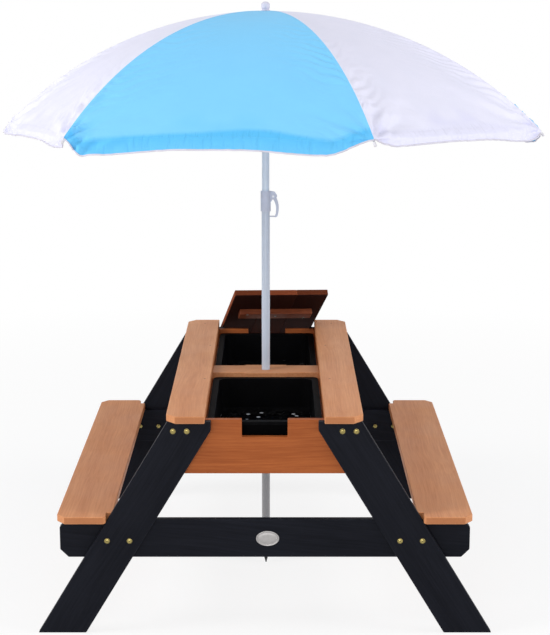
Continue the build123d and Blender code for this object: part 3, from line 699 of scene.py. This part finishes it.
class PICNIC_OT_stain_boards(bpy.types.Operator):
    """Stains every board: light planks, brown aprons, dark legs and a red-brown lid"""

    bl_idname = "picnic.stain_boards"
    bl_label = "Stain the Boards"

    def execute(self, context):
        boards = context.scene.picnic_boards
        noise.seed_set(7)
        plank = (boards.plank_pale, boards.plank_dark)
        apron = (boards.apron_pale, boards.apron_dark)
        dark = (boards.frame_pale, boards.frame_dark)
        lid = (boards.lid_pale, boards.lid_dark)
        lid_tones = {"lid_board_left": 1.0, "lid_board_middle": 1.45, "lid_board_right": 0.8}
        for node_name in sorted(CAD):
            if node_name.startswith(("tabletop_plank", "seat_plank")):
                material = wood_material(
                    node_name, "Plank stain", *plank, boards.line_spacing,
                    strength=0.34, roughness=0.5, wear=(0.35, 1.12, 0.03),
                )
            elif node_name.startswith(("apron", "side_rail", "bin_ledge", "crossbar")):
                pale, deep = (toned(colour, 0.80) for colour in plank) if node_name == "crossbar" else apron
                material = wood_material(
                    node_name, "Brown stain", pale, deep, boards.line_spacing * 1.1,
                    strength=0.42, roughness=0.5, wear=(0.4, 1.25, 0.04), gloss=0.15,
                )
            elif node_name.startswith(("leg", "seat_beam")):
                # The dark legs' and beams' pale edges are partly worn stain and partly a painted highlight
                # along their edges
                material = wood_material(
                    node_name, "Dark stain", *dark, boards.line_spacing * 1.2,
                    strength=0.5, roughness=0.46, wear=(0.5, 2.2, 0.02), gloss=0.05,
                )
            elif node_name in lid_tones:
                pale, deep = (toned(colour, lid_tones[node_name]) for colour in lid)
                material = wood_material(
                    node_name, "Lid stain", pale, deep, boards.line_spacing * 1.4,
                    strength=0.5, roughness=0.72, wear=(0.06, 1.1, 0.0), gloss=0.04, under=boards.lid_underside_shade,
                )
            elif node_name.startswith("lid_batten"):
                material = wood_material(
                    node_name, "Lid stain", *lid, boards.line_spacing * 1.4,
                    strength=0.5, roughness=0.5, wear=(0.35, 1.3, 0.03),
                )
            else:
                continue
            dress(node_name, material)
        return {"FINISHED"}


class PICNIC_OT_finish_bins(bpy.types.Operator):
    """Gives the two bins their black plastic"""

    bl_idname = "picnic.finish_bins"
    bl_label = "Finish the Bins"

    def execute(self, context):
        bottom, top = (corner[2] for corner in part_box("bin_front"))
        plastic = bin_material(context.scene.picnic_pole.bin_black, top - bottom)
        for node_name in ("bin_front", "bin_rear"):
            dress(node_name, plastic)
        return {"FINISHED"}


class PICNIC_OT_finish_pole(bpy.types.Operator):
    """Paints the tubes and gives the collar, hub, runner, ribs and spike their finishes"""

    bl_idname = "picnic.finish_pole"
    bl_label = "Finish the Pole and Ribs"

    def execute(self, context):
        pole = context.scene.picnic_pole
        # The tube is painted darker from just under the front apron down, as painted shade
        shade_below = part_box("apron_front")[0][2] + 0.03
        plastics = {
            ("height_collar", "lock_lever"): plastic_material("Collar plastic", pole.collar, 0.5),
            ("crown_hub", "runner", "ground_spike"): plastic_material(
                "Black hub plastic", pole.hub_black, 0.48, depth=0.00012
            ),
            ("finial",): plastic_material("Finial plastic", pole.finial, 0.42),
        }
        finishes = {
            ("upper_pole",): painted_tube_material("Pale paint on the upper tube", pole.paint),
            ("lower_pole",): painted_tube_material(
                "Pale paint on the lower tube", pole.lower_paint, pole.table_shade_grey, shade_below
            ),
            **plastics,
            ("rib_", "stretcher_", "lever_pin"): plated_material(
                "Zinc-plated rib steel", (0.55, 0.56, 0.58), roughness=0.3, grime=0.8
            ),
        }
        for node_name in CAD:
            for names, material in finishes.items():
                if node_name.startswith(names):
                    dress(node_name, material)
        return {"FINISHED"}


# Bolts, screws and the plate


def bolt_rings(bolts):
    """Rings of a washer and a domed head, for outside, and of a nut and the bolt's end, for inside."""
    head, tall, washer = bolts.head_radius, bolts.head_height, bolts.washer_radius
    washer_top, brim_top, hexagon = 0.0008, 0.0013, 6
    washer_rings = [(washer, 0, 0), (washer, washer_top, 0), (head * 0.9, 0.0010, 0)]
    head_rings = [(head, washer_top, 0), (head, brim_top, 0)]
    dome_rings, dome_arc, dome_rise = 6, math.radians(77.4), (tall - brim_top) / 0.975
    for step in range(1, dome_rings + 1):
        bow = dome_arc * step / dome_rings
        head_rings.append((head * math.cos(bow), brim_top + dome_rise * math.sin(bow), 0))
    socket, socket_depth, bevel = head * 0.42, 0.0019, 0.0002
    head_rings += [
        (socket * 1.15, tall, 0), (socket, tall - bevel, hexagon), (socket, tall - socket_depth, hexagon)
    ]
    nut, high = bolts.nut_width / 2, bolts.nut_height
    nut_rings = [
        (nut * 0.96, 0, 0), (nut, 0.0005, hexagon), (nut, high - 0.0007, hexagon), (nut * 0.94, high, 0)
    ]
    crest, root, tip, half_pitch = 0.0029, 0.0025, 0.0021, 0.0004
    end_rings = [(crest, high, 0)]
    end_rings += [(crest if step % 2 else root, high + half_pitch * (step + 1), 0) for step in range(7)]
    end_rings.append((tip, high + 0.0033, 0))
    return (washer_rings, head_rings), (nut_rings, end_rings)


class PICNIC_OT_add_bolts(bpy.types.Operator):
    """Bolts the legs: a washer and a domed head with a hex socket outside, a nut and the bolt's end inside"""

    bl_idname = "picnic.add_bolts"
    bl_label = "Add the Bolts"

    def execute(self, context):
        bolts = context.scene.picnic_bolts
        zinc = plated_material("Yellow zinc", bolts.zinc, roughness=0.14, grime=0.45)
        outside, inside = bolt_rings(bolts)
        rows = (("upper", bolts.upper_out, bolts.upper_gap, bolts.upper_height),
                ("lower", bolts.lower_out, bolts.lower_gap, bolts.lower_height))
        for end_name, outward in ENDS:
            legs = FRONT_LEG if outward < 0 else REAR_LEG
            outer = legs[0][1] if outward < 0 else legs[1][1]
            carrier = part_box(f"apron_{end_name}")
            inner = carrier[1][1] if outward < 0 else carrier[0][1]
            kinds = (("bolt_heads", outside, outer, outward), ("bolt_nuts", inside, inner, -outward))
            for side_name, side in SIDES:
                for row_name, out, gap, height in rows:
                    for kind, ring_sets, face, away in kinds:
                        parts = []
                        for half in (-0.5, 0.5):
                            for rings in ring_sets:
                                place = (side * out + half * gap, face, height)
                                parts.append(turned_mesh(rings, 36, place, (0, away, 0)))
                        piece = join_parts(f"{kind}_{end_name}_{side_name}_{row_name}", parts, zinc)
                        soften(piece)
                        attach(piece, "table")
        return {"FINISHED"}


class PICNIC_OT_add_plate(bpy.types.Operator):
    """Fixes a blank oval metal plate with a raised rim and two pins to the front seat beam"""

    bl_idname = "picnic.add_plate"
    bl_label = "Add the Blank Plate"

    def execute(self, context):
        plate = context.scene.picnic_plate
        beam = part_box("seat_beam_front")
        face, height = beam[0][1], (beam[0][2] + beam[1][2]) / 2
        wide, tall, thick, rim = plate.width / 2, plate.height / 2, plate.thickness, plate.rim
        # Each ring is an oval: how far inside the outline it runs, and how far it stands out
        ovals = [(0, 0), (0, thick * 0.6), (0.0004, thick * 0.9), (0.0010, thick), (rim * 0.6, thick),
                 (rim * 0.85, thick * 0.8), (rim, thick * 0.3), (rim + 0.0014, thick * 0.22),
                 (rim + 0.0030, thick * 0.46),
                 (tall * 0.6, thick * 0.5), (tall * 0.85, thick * 0.52)]
        sides, points = 72, []
        for inset, out in ovals:
            for step in range(sides):
                turn = 2 * math.pi * step / sides
                points.append((plate.beside + (wide - inset) * math.cos(turn), face - out,
                               height + (tall - inset) * math.sin(turn)))
        parts = [(points, ring_faces(len(ovals), sides) + [last_ring(len(ovals), sides)])]
        for side in (-1, 1):
            rings = [(0.0013, 0, 0), (0.0013, 0.0004, 0), (0.0009, 0.0009, 0), (0.0003, 0.0011, 0)]
            place = (plate.beside + side * (wide - rim * 1.9), face - thick * 0.46, height)
            parts.append(turned_mesh(rings, 20, place, (0, -1, 0)))
        metal = plated_material("Brushed plate metal", plate.metal, roughness=0.38, grime=0.8)
        piece = join_parts("blank_oval_plate", parts, metal)
        soften(piece)
        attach(piece, "table")
        return {"FINISHED"}


class PICNIC_OT_add_screws(bpy.types.Operator):
    """Adds plugged screws on the planks and countersunk screws on the lid's battens"""

    bl_idname = "picnic.add_screws"
    bl_label = "Add the Screws and Plugs"

    def execute(self, context):
        boards = context.scene.picnic_boards
        plug_wood, tree, shader = start_material("Wood plugs", Coat_Weight=0.1, Coat_Roughness=0.4)
        place = object_place(tree)
        tones = (("Pale Wood", 0.62), ("Dark Wood", 0.34))
        woods = {label: (*toned(boards.plank_dark, tone), 1) for label, tone in tones}
        grain = add_group(tree, board_grain(), {"Place": place, **woods, "Line Spacing": 0.0012})
        rough = ramp(tree, grain["Dullness"], 0.0, 1.0, 0.5, 0.66)
        finish_surface(
            tree, shader, grain["Colour"], rough, grain["Height"], distance=0.0002, strength=0.6
        )
        rings = [(0.0026, -0.0004, 0), (0.0026, 0.00005, 0), (0.0021, 0.00022, 0), (0.0010, 0.0003, 0)]
        # Plugs of the screws into the ledges: how far each lies past the middle, and how much further out
        rows = ((-0.155, 0), (0.178, 0), (0.430, 0.024))
        parts = []
        for side_name, side in SIDES:
            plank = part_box(f"tabletop_plank_{side_name}")
            edge = plank[1][0] if side < 0 else plank[0][0]
            inset = 0.013 if side < 0 else 0.021
            for away, further in rows:
                place = (edge + side * (inset + further), TABLE_MIDDLE + away, plank[1][2])
                parts.append(turned_mesh(rings, 18, place, (0, 0, 1)))
        plugs = join_parts("plank_plugs", parts, plug_wood)
        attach(plugs, "table")

        steel = plated_material("Dark screw steel", (0.32, 0.29, 0.25), roughness=0.4, grime=0.6)
        parts = []
        for batten_name in ("lid_batten_upper", "lid_batten_lower"):
            along = board_axes(batten_name)[0]
            batten = CAD[batten_name].data
            middle = sum((vertex.co for vertex in batten.vertices), Vector()) / len(batten.vertices)
            under = -lid_up()
            reach = max((vertex.co - middle).dot(under) for vertex in batten.vertices)
            length = max((vertex.co - middle).dot(along) for vertex in batten.vertices)
            head = [(0.0032, -0.0003, 0), (0.0032, 0.0001, 0), (0.0026, 0.0005, 0), (0.0014, 0.0006, 0),
                    (0.0012, 0.0001, 4), (0.0005, -0.0002, 4)]
            for share in (-0.8, 0.8, 0.0):
                place = middle + along * length * share + under * reach
                parts.append(turned_mesh(head, 24, place, under))
        screws = join_parts("lid_batten_screws", parts, steel)
        soften(screws)
        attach(screws, "lid")
        return {"FINISHED"}


# Canopy

GORES = 6
GORE_TURN = 2 * math.pi / GORES
MILLIMETRE = 0.001

# Each gore's hem, from its left corner to its right: its drops in millimetres, its lowest places as shares
# of half the gore, and how strong its waves are
HEMS = (
    # left corner, left low, its place, middle, right low, its place, right corner, waves
    (6, 38, 0.12, 25, 34, 0.30, 3, 0.55),
    (2, 17, 0.24, 15, 23, 0.16, 7, 1.0),
    (4, 30, 0.14, 22, 28, 0.18, 4, 0.9),
    (3, 28, 0.16, 20, 31, 0.14, 5, 1.0),
    (5, 32, 0.13, 23, 26, 0.2, 4, 0.9),
    (3, 18, 0.08, 15, 25, 0.13, 9, 1.3),
)


def ease(value):
    """From 0 to 1 with a soft start and end."""
    value = np.clip(value, 0, 1)
    return value * value * (3 - 2 * value)


def hem_drop(shape, sideways):
    """How far the hem hangs below a rib's tip, in metres, at places from -1 to 1 across the gore."""
    left_corner, left_low, left_place, middle, right_low, right_place, right_corner, _ = shape
    left = sideways < 0
    corner = np.where(left, left_corner, right_corner)
    low = np.where(left, left_low, right_low)
    place = np.where(left, left_place, right_place)
    inward = 1 - np.abs(sideways)
    near_corner = corner + (low - corner) * ease(inward / place) ** 0.8
    inner = low + (middle - low) * ease((inward - place) / (1 - place) * 1.25)
    return np.where(inward < place, near_corner, inner) * MILLIMETRE


def speckle(points, size, seed):
    """Smooth noise from -1 to 1 at each point of an array."""
    flat = points.reshape(-1, 3) / size
    values = [noise.noise(Vector((x + seed * 17.3, y - seed * 9.1, z + seed * 4.7))) for x, y, z in flat]
    return np.array(values).reshape(points.shape[:-1])


def rib_directions(canopy, number):
    """Directions out along a rib and across it. A number with a half is the middle of a gore."""
    turn = canopy.first_rib + GORE_TURN * number
    outward = TO_NEAR * math.cos(turn) + TO_RIGHT * math.sin(turn)
    return outward, TO_RIGHT * math.cos(turn) - TO_NEAR * math.sin(turn)


def gore_cloth(canopy, number):
    """A gore's points, normals, distances from seam and hem, and each half's flat area and length."""
    radius, drop, rim = canopy.radius, canopy.drop, canopy.rows
    dome = (radius**2 + drop**2) / (2 * drop)
    half = GORE_TURN / 2
    first, last = math.asin(canopy.opening / dome), math.asin(radius / dome)
    sideways = np.sin(np.linspace(-1, 1, 2 * canopy.columns + 1) * math.pi / 2)
    angles = np.linspace(first, last, rim + 1)
    outs = dome * np.sin(angles)
    depth = (outs * math.cos(half))[:, None] + 0 * sideways
    beside = (outs * math.sin(half))[:, None] * sideways
    height = (canopy.top - dome + dome * np.cos(angles))[:, None] + 0 * sideways
    along = (dome * (angles - first))[:, None] + 0 * sideways
    slope = math.atan(radius / math.sqrt(dome**2 - radius**2) / math.cos(half))

    # The hem turns down past the rib's tip, then flares a little at its edge
    hanging, flare = math.radians(82), math.radians(13)
    places = (np.arange(canopy.hem_rows) + 0.5) / canopy.hem_rows
    steep = slope + (hanging - slope) * ease(places / 0.35) - flare * ease((places - 0.5) / 0.4)
    step = hem_drop(HEMS[number], sideways) / np.sin(steep).sum()
    for angle in steep:
        depth = np.vstack([depth, depth[-1] + step * math.cos(angle)])
        height = np.vstack([height, height[-1] - step * math.sin(angle)])
        beside = np.vstack([beside, beside[-1]])
        along = np.vstack([along, along[-1] + step])

    outward, sidewards = map(np.array, rib_directions(canopy, number + 0.5))
    up = np.array(POLE_UP)
    flat_points = np.array(POLE_FOOT) + depth[..., None] * outward + beside[..., None] * sidewards
    flat_points += height[..., None] * up

    def normals_of(points):
        down, over = np.gradient(points, axis=0), np.gradient(points, axis=1)
        faced = np.cross(down, over)
        faced /= np.maximum(np.linalg.norm(faced, axis=-1, keepdims=True), 1e-12)
        return faced * np.where((faced @ up).mean() > 0, 1, -1)

    half_width = np.append(outs, np.full(canopy.hem_rows, outs[-1]))[:, None] * math.sin(half)
    from_seam = half_width * (1 - np.abs(sideways))
    to_rim = along[rim] - along
    to_hem = along[-1] - along
    waves = HEMS[number][7]

    # Short slanting creases along both seams, deeper towards the rim
    crease_spacing, crease_reach, flat_beside_seam = 0.034, 0.055, 0.012
    warp = speckle(flat_points, 0.055, number)
    lower = np.clip(along / along[rim], 0, 1.1) ** 1.6
    slant = np.where(sideways < 0, 0.55, 0.75)
    rows_of_creases = (along + slant * from_seam) / crease_spacing + 0.9 * warp + 0.3 * number
    patches = ease(0.62 + 1.3 * speckle(flat_points, 0.12, number + 20))
    lift = canopy.pucker * np.sin(2 * math.pi * rows_of_creases) * lower * patches
    lift *= np.exp(-from_seam / crease_reach) * ease(from_seam / flat_beside_seam)
    # Folds that fan out of each rib's tip
    folds, fold_reach = 8.5, 0.10
    reach = np.hypot(from_seam, to_rim)
    fan = np.arctan2(to_rim, from_seam + 1e-4)
    fold = canopy.corner_fold * waves * np.sin(folds * fan + 2.2 * warp + number)
    lift += fold * np.exp(-reach / fold_reach) * ease(reach / 0.035) * ease(from_seam / 0.018)
    # The gore sinks a little between its ribs, and lies unevenly
    unevenness = 0.0016
    between = 1 - sideways**2
    down_share = np.clip(along / along[rim], 0, 1)
    lift -= canopy.sag * between * np.sin(math.pi * down_share ** 0.8)
    lift += unevenness * speckle(flat_points, 0.13, number + 40) * between * ease(down_share / 0.25)
    # Waves and small gathers along the hem
    wave_reach, gather_depth, gather_spacing, gather_reach = 0.05, 0.0009, 0.021, 0.018
    edge_points = np.stack([beside, 0 * beside, 0 * beside], axis=-1)
    slow = speckle(edge_points, 0.062, number + 60)
    quick = np.sin(2 * math.pi * (beside / gather_spacing + 1.1 * slow))
    window = ease(from_seam / 0.03)
    lift += canopy.hem_wave * waves * slow * np.exp(-to_hem / wave_reach) * window
    lift += gather_depth * quick * np.exp(-to_hem / gather_reach) * window

    points = flat_points + normals_of(flat_points) * lift[..., None]
    seam, hem = np.stack([from_seam, along], axis=-1), np.stack([to_hem, beside], axis=-1)
    area = float((half_width[:, 0] * np.diff(along.mean(axis=1), prepend=0)).sum())
    return points, normals_of(points), seam, hem, area, float(along[-1].max())


def sheet_piece(name, points, normals, seam, hem, material):
    """A cloth mesh from a grid of points, with its normals and its distances kept as UV maps."""
    rows, columns = points.shape[:2]
    faces = [
        tuple(row * columns + column + corner for corner in (0, 1, columns + 1, columns))
        for row in range(rows - 1) for column in range(columns - 1)
    ]
    piece = add_piece(name, points.reshape(-1, 3), faces, material)
    mesh = piece.data
    corners = np.zeros(len(mesh.loops), dtype=int)
    mesh.loops.foreach_get("vertex_index", corners)
    for layer_name, values in (("seam", seam), ("hem", hem)):
        layer = mesh.uv_layers.new(name=layer_name)
        layer.data.foreach_set("uv", values.reshape(-1, 2)[corners].astype(np.float32).ravel())
    upright = normals.reshape(-1, 3)
    middle = len(faces) // 2
    if mesh.polygons[middle].normal.dot(Vector(upright[faces[middle][0]])) < 0:
        mesh.flip_normals()
    mesh.normals_split_custom_set_from_vertices([tuple(normal) for normal in upright])
    return piece


def tube_piece(name, line, radius, material):
    """A thin round tube along a line of points."""
    sides, points = 10, []
    for place, direction in zip(line, np.gradient(line, axis=0)):
        direction = Vector(direction).normalized()
        across = direction.cross(POLE_UP).normalized()
        above = across.cross(direction)
        for step in range(sides):
            turn = 2 * math.pi * step / sides
            points.append(Vector(place) + (across * math.cos(turn) + above * math.sin(turn)) * radius)
    faces = ring_faces(len(line), sides) + [tuple(range(sides)), last_ring(len(line), sides)]
    piece = add_piece(name, points, faces, material)
    soften(piece, 60)
    return piece


class PICNIC_OT_sew_canopy(bpy.types.Operator):
    """Sews six gores, in halves that each ride on one of their ribs, with creases, seams and a piped hem"""

    bl_idname = "picnic.sew_canopy"
    bl_label = "Sew the Canopy"

    def execute(self, context):
        canopy = context.scene.picnic_canopy
        # Each cloth's first tone paints shade on the turned-down hem, its second paints soft patches of shade
        # near the hem
        blue = cloth_material("Sky-blue cloth", canopy.blue, (0.46, 0.82, 0.93), (0.84, 0.94, 0.98))
        white = cloth_material("Cool white cloth", canopy.white, (0.95, 0.95, 0.98), (0.89, 0.89, 0.96))
        piping_grey_shade = piping_material(canopy.piping_grey_shade)
        middle = canopy.columns
        for number in range(GORES):
            points, normals, seam, hem, area, length = gore_cloth(canopy, number)
            material = blue if number % 2 == 0 else white
            for half_name, columns, rib in (
                ("left", slice(0, middle + 1), number), ("right", slice(middle, None), (number + 1) % GORES)
            ):
                piece = sheet_piece(
                    f"canopy_gore_{number + 1}_{half_name}", points[:, columns], normals[:, columns],
                    seam[:, columns], hem[:, columns], material,
                )
                line = points[-1, columns] + normals[-1, columns] * 0.0003
                piping = tube_piece(f"hem_piping_{number + 1}_{half_name}", line, canopy.piping / 2, piping_grey_shade)
                if half_name == "left":
                    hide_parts(f"canopy_panel_{number + 1}")
                for part in (piece, piping):
                    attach(part, f"rib_arm_{rib + 1}")
                    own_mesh(part)
        return {"FINISHED"}


class PICNIC_OT_cap_ribs(bpy.types.Operator):
    """Pushes a small pale cap on each rib's tip, where the cloth's corner is hooked"""

    bl_idname = "picnic.cap_ribs"
    bl_label = "Cap the Ribs"

    def execute(self, context):
        canopy = context.scene.picnic_canopy
        pale = plastic_material("Pale tip plastic", (0.70, 0.69, 0.74), 0.4, patch=0.01, skin=0.0006)
        for number in range(GORES):
            out = rib_directions(canopy, number)[0]
            rib = CAD[f"rib_{number + 1}"].data
            reach = max((vertex.co - POLE_FOOT).dot(out) for vertex in rib.vertices)
            from_tip = 0.0035
            end = [v.co for v in rib.vertices if (v.co - POLE_FOOT).dot(out) > reach - from_tip]
            tip = sum(end, Vector()) / len(end)
            ahead = (out * 0.62 - POLE_UP * 0.64).normalized()
            rings = [(0.0026, -0.0085, 0), (0.0031, -0.008, 0), (0.0031, -0.003, 0), (0.0034, -0.0025, 0),
                     (0.0034, -0.0005, 0), (0.0030, 0.0008, 0), (0.0020, 0.0018, 0), (0.0008, 0.0022, 0)]
            points, faces = turned_mesh(rings, 28, tip, ahead, close_start=True)
            cap = add_piece(f"rib_cap_{number + 1}", points, faces, pale)
            soften(cap)
            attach(cap, f"rib_arm_{number + 1}")
        return {"FINISHED"}


# Studio


def add_lamp(name, place, target, size, power):
    """A round white lamp that faces its target."""
    lamp = bpy.data.lights.new(name, "AREA")
    lamp.shape, lamp.size, lamp.energy = "DISK", size, power
    holder = bpy.data.objects.new(name, lamp)
    holder.location = place
    holder.rotation_euler = (Vector(target) - Vector(place)).to_track_quat("-Z", "Y").to_euler()
    bpy.context.scene.collection.objects.link(holder)


def seen_directly(tree):
    """1 for camera, mirror and clear rays, so that they meet the plain white background."""
    path = add_node(tree, "LightPath")
    shiny = sums(tree, "MAXIMUM", path.outputs["Is Glossy Ray"], path.outputs["Is Transmission Ray"])
    return sums(tree, "MAXIMUM", path.outputs["Is Camera Ray"], shiny)


class PICNIC_OT_build_studio(bpy.types.Operator):
    """Lays a pale floor and sets the lamps, the room's light and the camera"""

    bl_idname = "picnic.build_studio"
    bl_label = "Build the Studio"

    def execute(self, context):
        studio = context.scene.picnic_studio
        floor_material, tree, shader = start_material("Pale floor", Roughness=0.9, Specular_IOR_Level=0.1)
        place = object_place(tree)
        smudges, _ = add_marks(tree, place, patch=1.5, skin=0.004)
        pale, white = studio.floor, (1, 1, 1, 1)
        tree.links.new(blend_colours(tree, smudges, pale, toned(pale, 0.99)), shader.inputs["Base Color"])
        glow = add_node(tree, "Emission", {"Color": white, "Strength": 1.0})
        away = add_node(tree, "VectorMath", {0: place}, operation="LENGTH").outputs["Value"]
        cleared = ramp(tree, away, 0.8, 3.0, 0.80, 1.0)
        glowing = sums(tree, "MULTIPLY", seen_directly(tree), cleared)
        both = add_node(tree, "MixShader", {0: glowing, 1: shader.outputs[0], 2: glow.outputs[0]})
        tree.links.new(both.outputs[0], tree.nodes["Material Output"].inputs["Surface"])
        reach = 60.0
        corners = [(-reach, -reach, 0), (reach, -reach, 0), (reach, reach, 0), (-reach, reach, 0)]
        floor = add_piece("studio_floor", corners, [(0, 1, 2, 3)], floor_material, smooth=False)

        world = bpy.data.worlds.new("Soft white room")
        context.scene.world = world
        world.use_nodes = True
        sky = world.node_tree
        sky.nodes.clear()
        room = add_node(sky, "Background", {"Color": white, "Strength": studio.sky_light})
        backdrop = add_node(sky, "Background", {"Color": white, "Strength": 1.0})
        looks = {1: room.outputs[0], 2: backdrop.outputs[0]}
        choice = add_node(sky, "MixShader", {0: seen_directly(sky), **looks})
        add_node(sky, "OutputWorld", {"Surface": choice.outputs[0]})

        middle = (0, TABLE_MIDDLE, 0.55)
        add_lamp("key_lamp", (-3.5, -1.1, 2.9), middle, 1.7, studio.key_power)
        add_lamp("fill_lamp", (3.5, -0.9, 2.9), middle, 1.9, studio.fill_power)
        add_lamp("front_lamp", (-0.5, -4.6, 1.5), (0, TABLE_MIDDLE, 0.8), 2.4, studio.front_power)

        camera = bpy.data.cameras.new("photo_camera")
        camera.lens, camera.sensor_width = studio.lens, 36
        camera.clip_end = 200
        holder = bpy.data.objects.new("photo_camera", camera)
        holder.location = studio.camera_place
        holder.rotation_euler = (studio.camera_tilt, 0, 0)
        context.scene.collection.objects.link(holder)
        context.scene.camera = holder
        context.scene.view_settings.view_transform = "Standard"
        return {"FINISHED"}


# Panel and registration


OPERATORS = (
    PICNIC_OT_stain_boards,
    PICNIC_OT_finish_bins,
    PICNIC_OT_finish_pole,
    PICNIC_OT_add_bolts,
    PICNIC_OT_add_plate,
    PICNIC_OT_add_screws,
    PICNIC_OT_sew_canopy,
    PICNIC_OT_cap_ribs,
    PICNIC_OT_build_studio,
)
SETTINGS = (
    (PicnicBoardSettings, "picnic_boards"),
    (PicnicPoleSettings, "picnic_pole"),
    (PicnicBoltSettings, "picnic_bolts"),
    (PicnicPlateSettings, "picnic_plate"),
    (PicnicCanopySettings, "picnic_canopy"),
    (PicnicStudioSettings, "picnic_studio"),
)


class PICNIC_PT_table(bpy.types.Panel):
    """Lists the steps that dress the picnic table"""

    bl_label = "Picnic Table"
    bl_idname = "PICNIC_PT_table"
    bl_space_type = "VIEW_3D"
    bl_region_type = "UI"
    bl_category = "Picnic Table"

    def draw(self, context):
        for operator in OPERATORS:
            self.layout.operator(operator.bl_idname)
        for group, attribute in SETTINGS:
            box = self.layout.box()
            for setting in group.__annotations__:
                box.prop(getattr(context.scene, attribute), setting)


def register():
    for group, attribute in SETTINGS:
        bpy.utils.register_class(group)
        setattr(bpy.types.Scene, attribute, PointerProperty(type=group))
    for operator in OPERATORS:
        bpy.utils.register_class(operator)
    bpy.utils.register_class(PICNIC_PT_table)


def unregister():
    bpy.utils.unregister_class(PICNIC_PT_table)
    for operator in reversed(OPERATORS):
        bpy.utils.unregister_class(operator)
    for group, attribute in reversed(SETTINGS):
        delattr(bpy.types.Scene, attribute)
        bpy.utils.unregister_class(group)


def main():
    register()
    for operator in OPERATORS:
        group, action = operator.bl_idname.split(".")
        getattr(getattr(bpy.ops, group), action)()


if __name__ == "__main__":
    main()
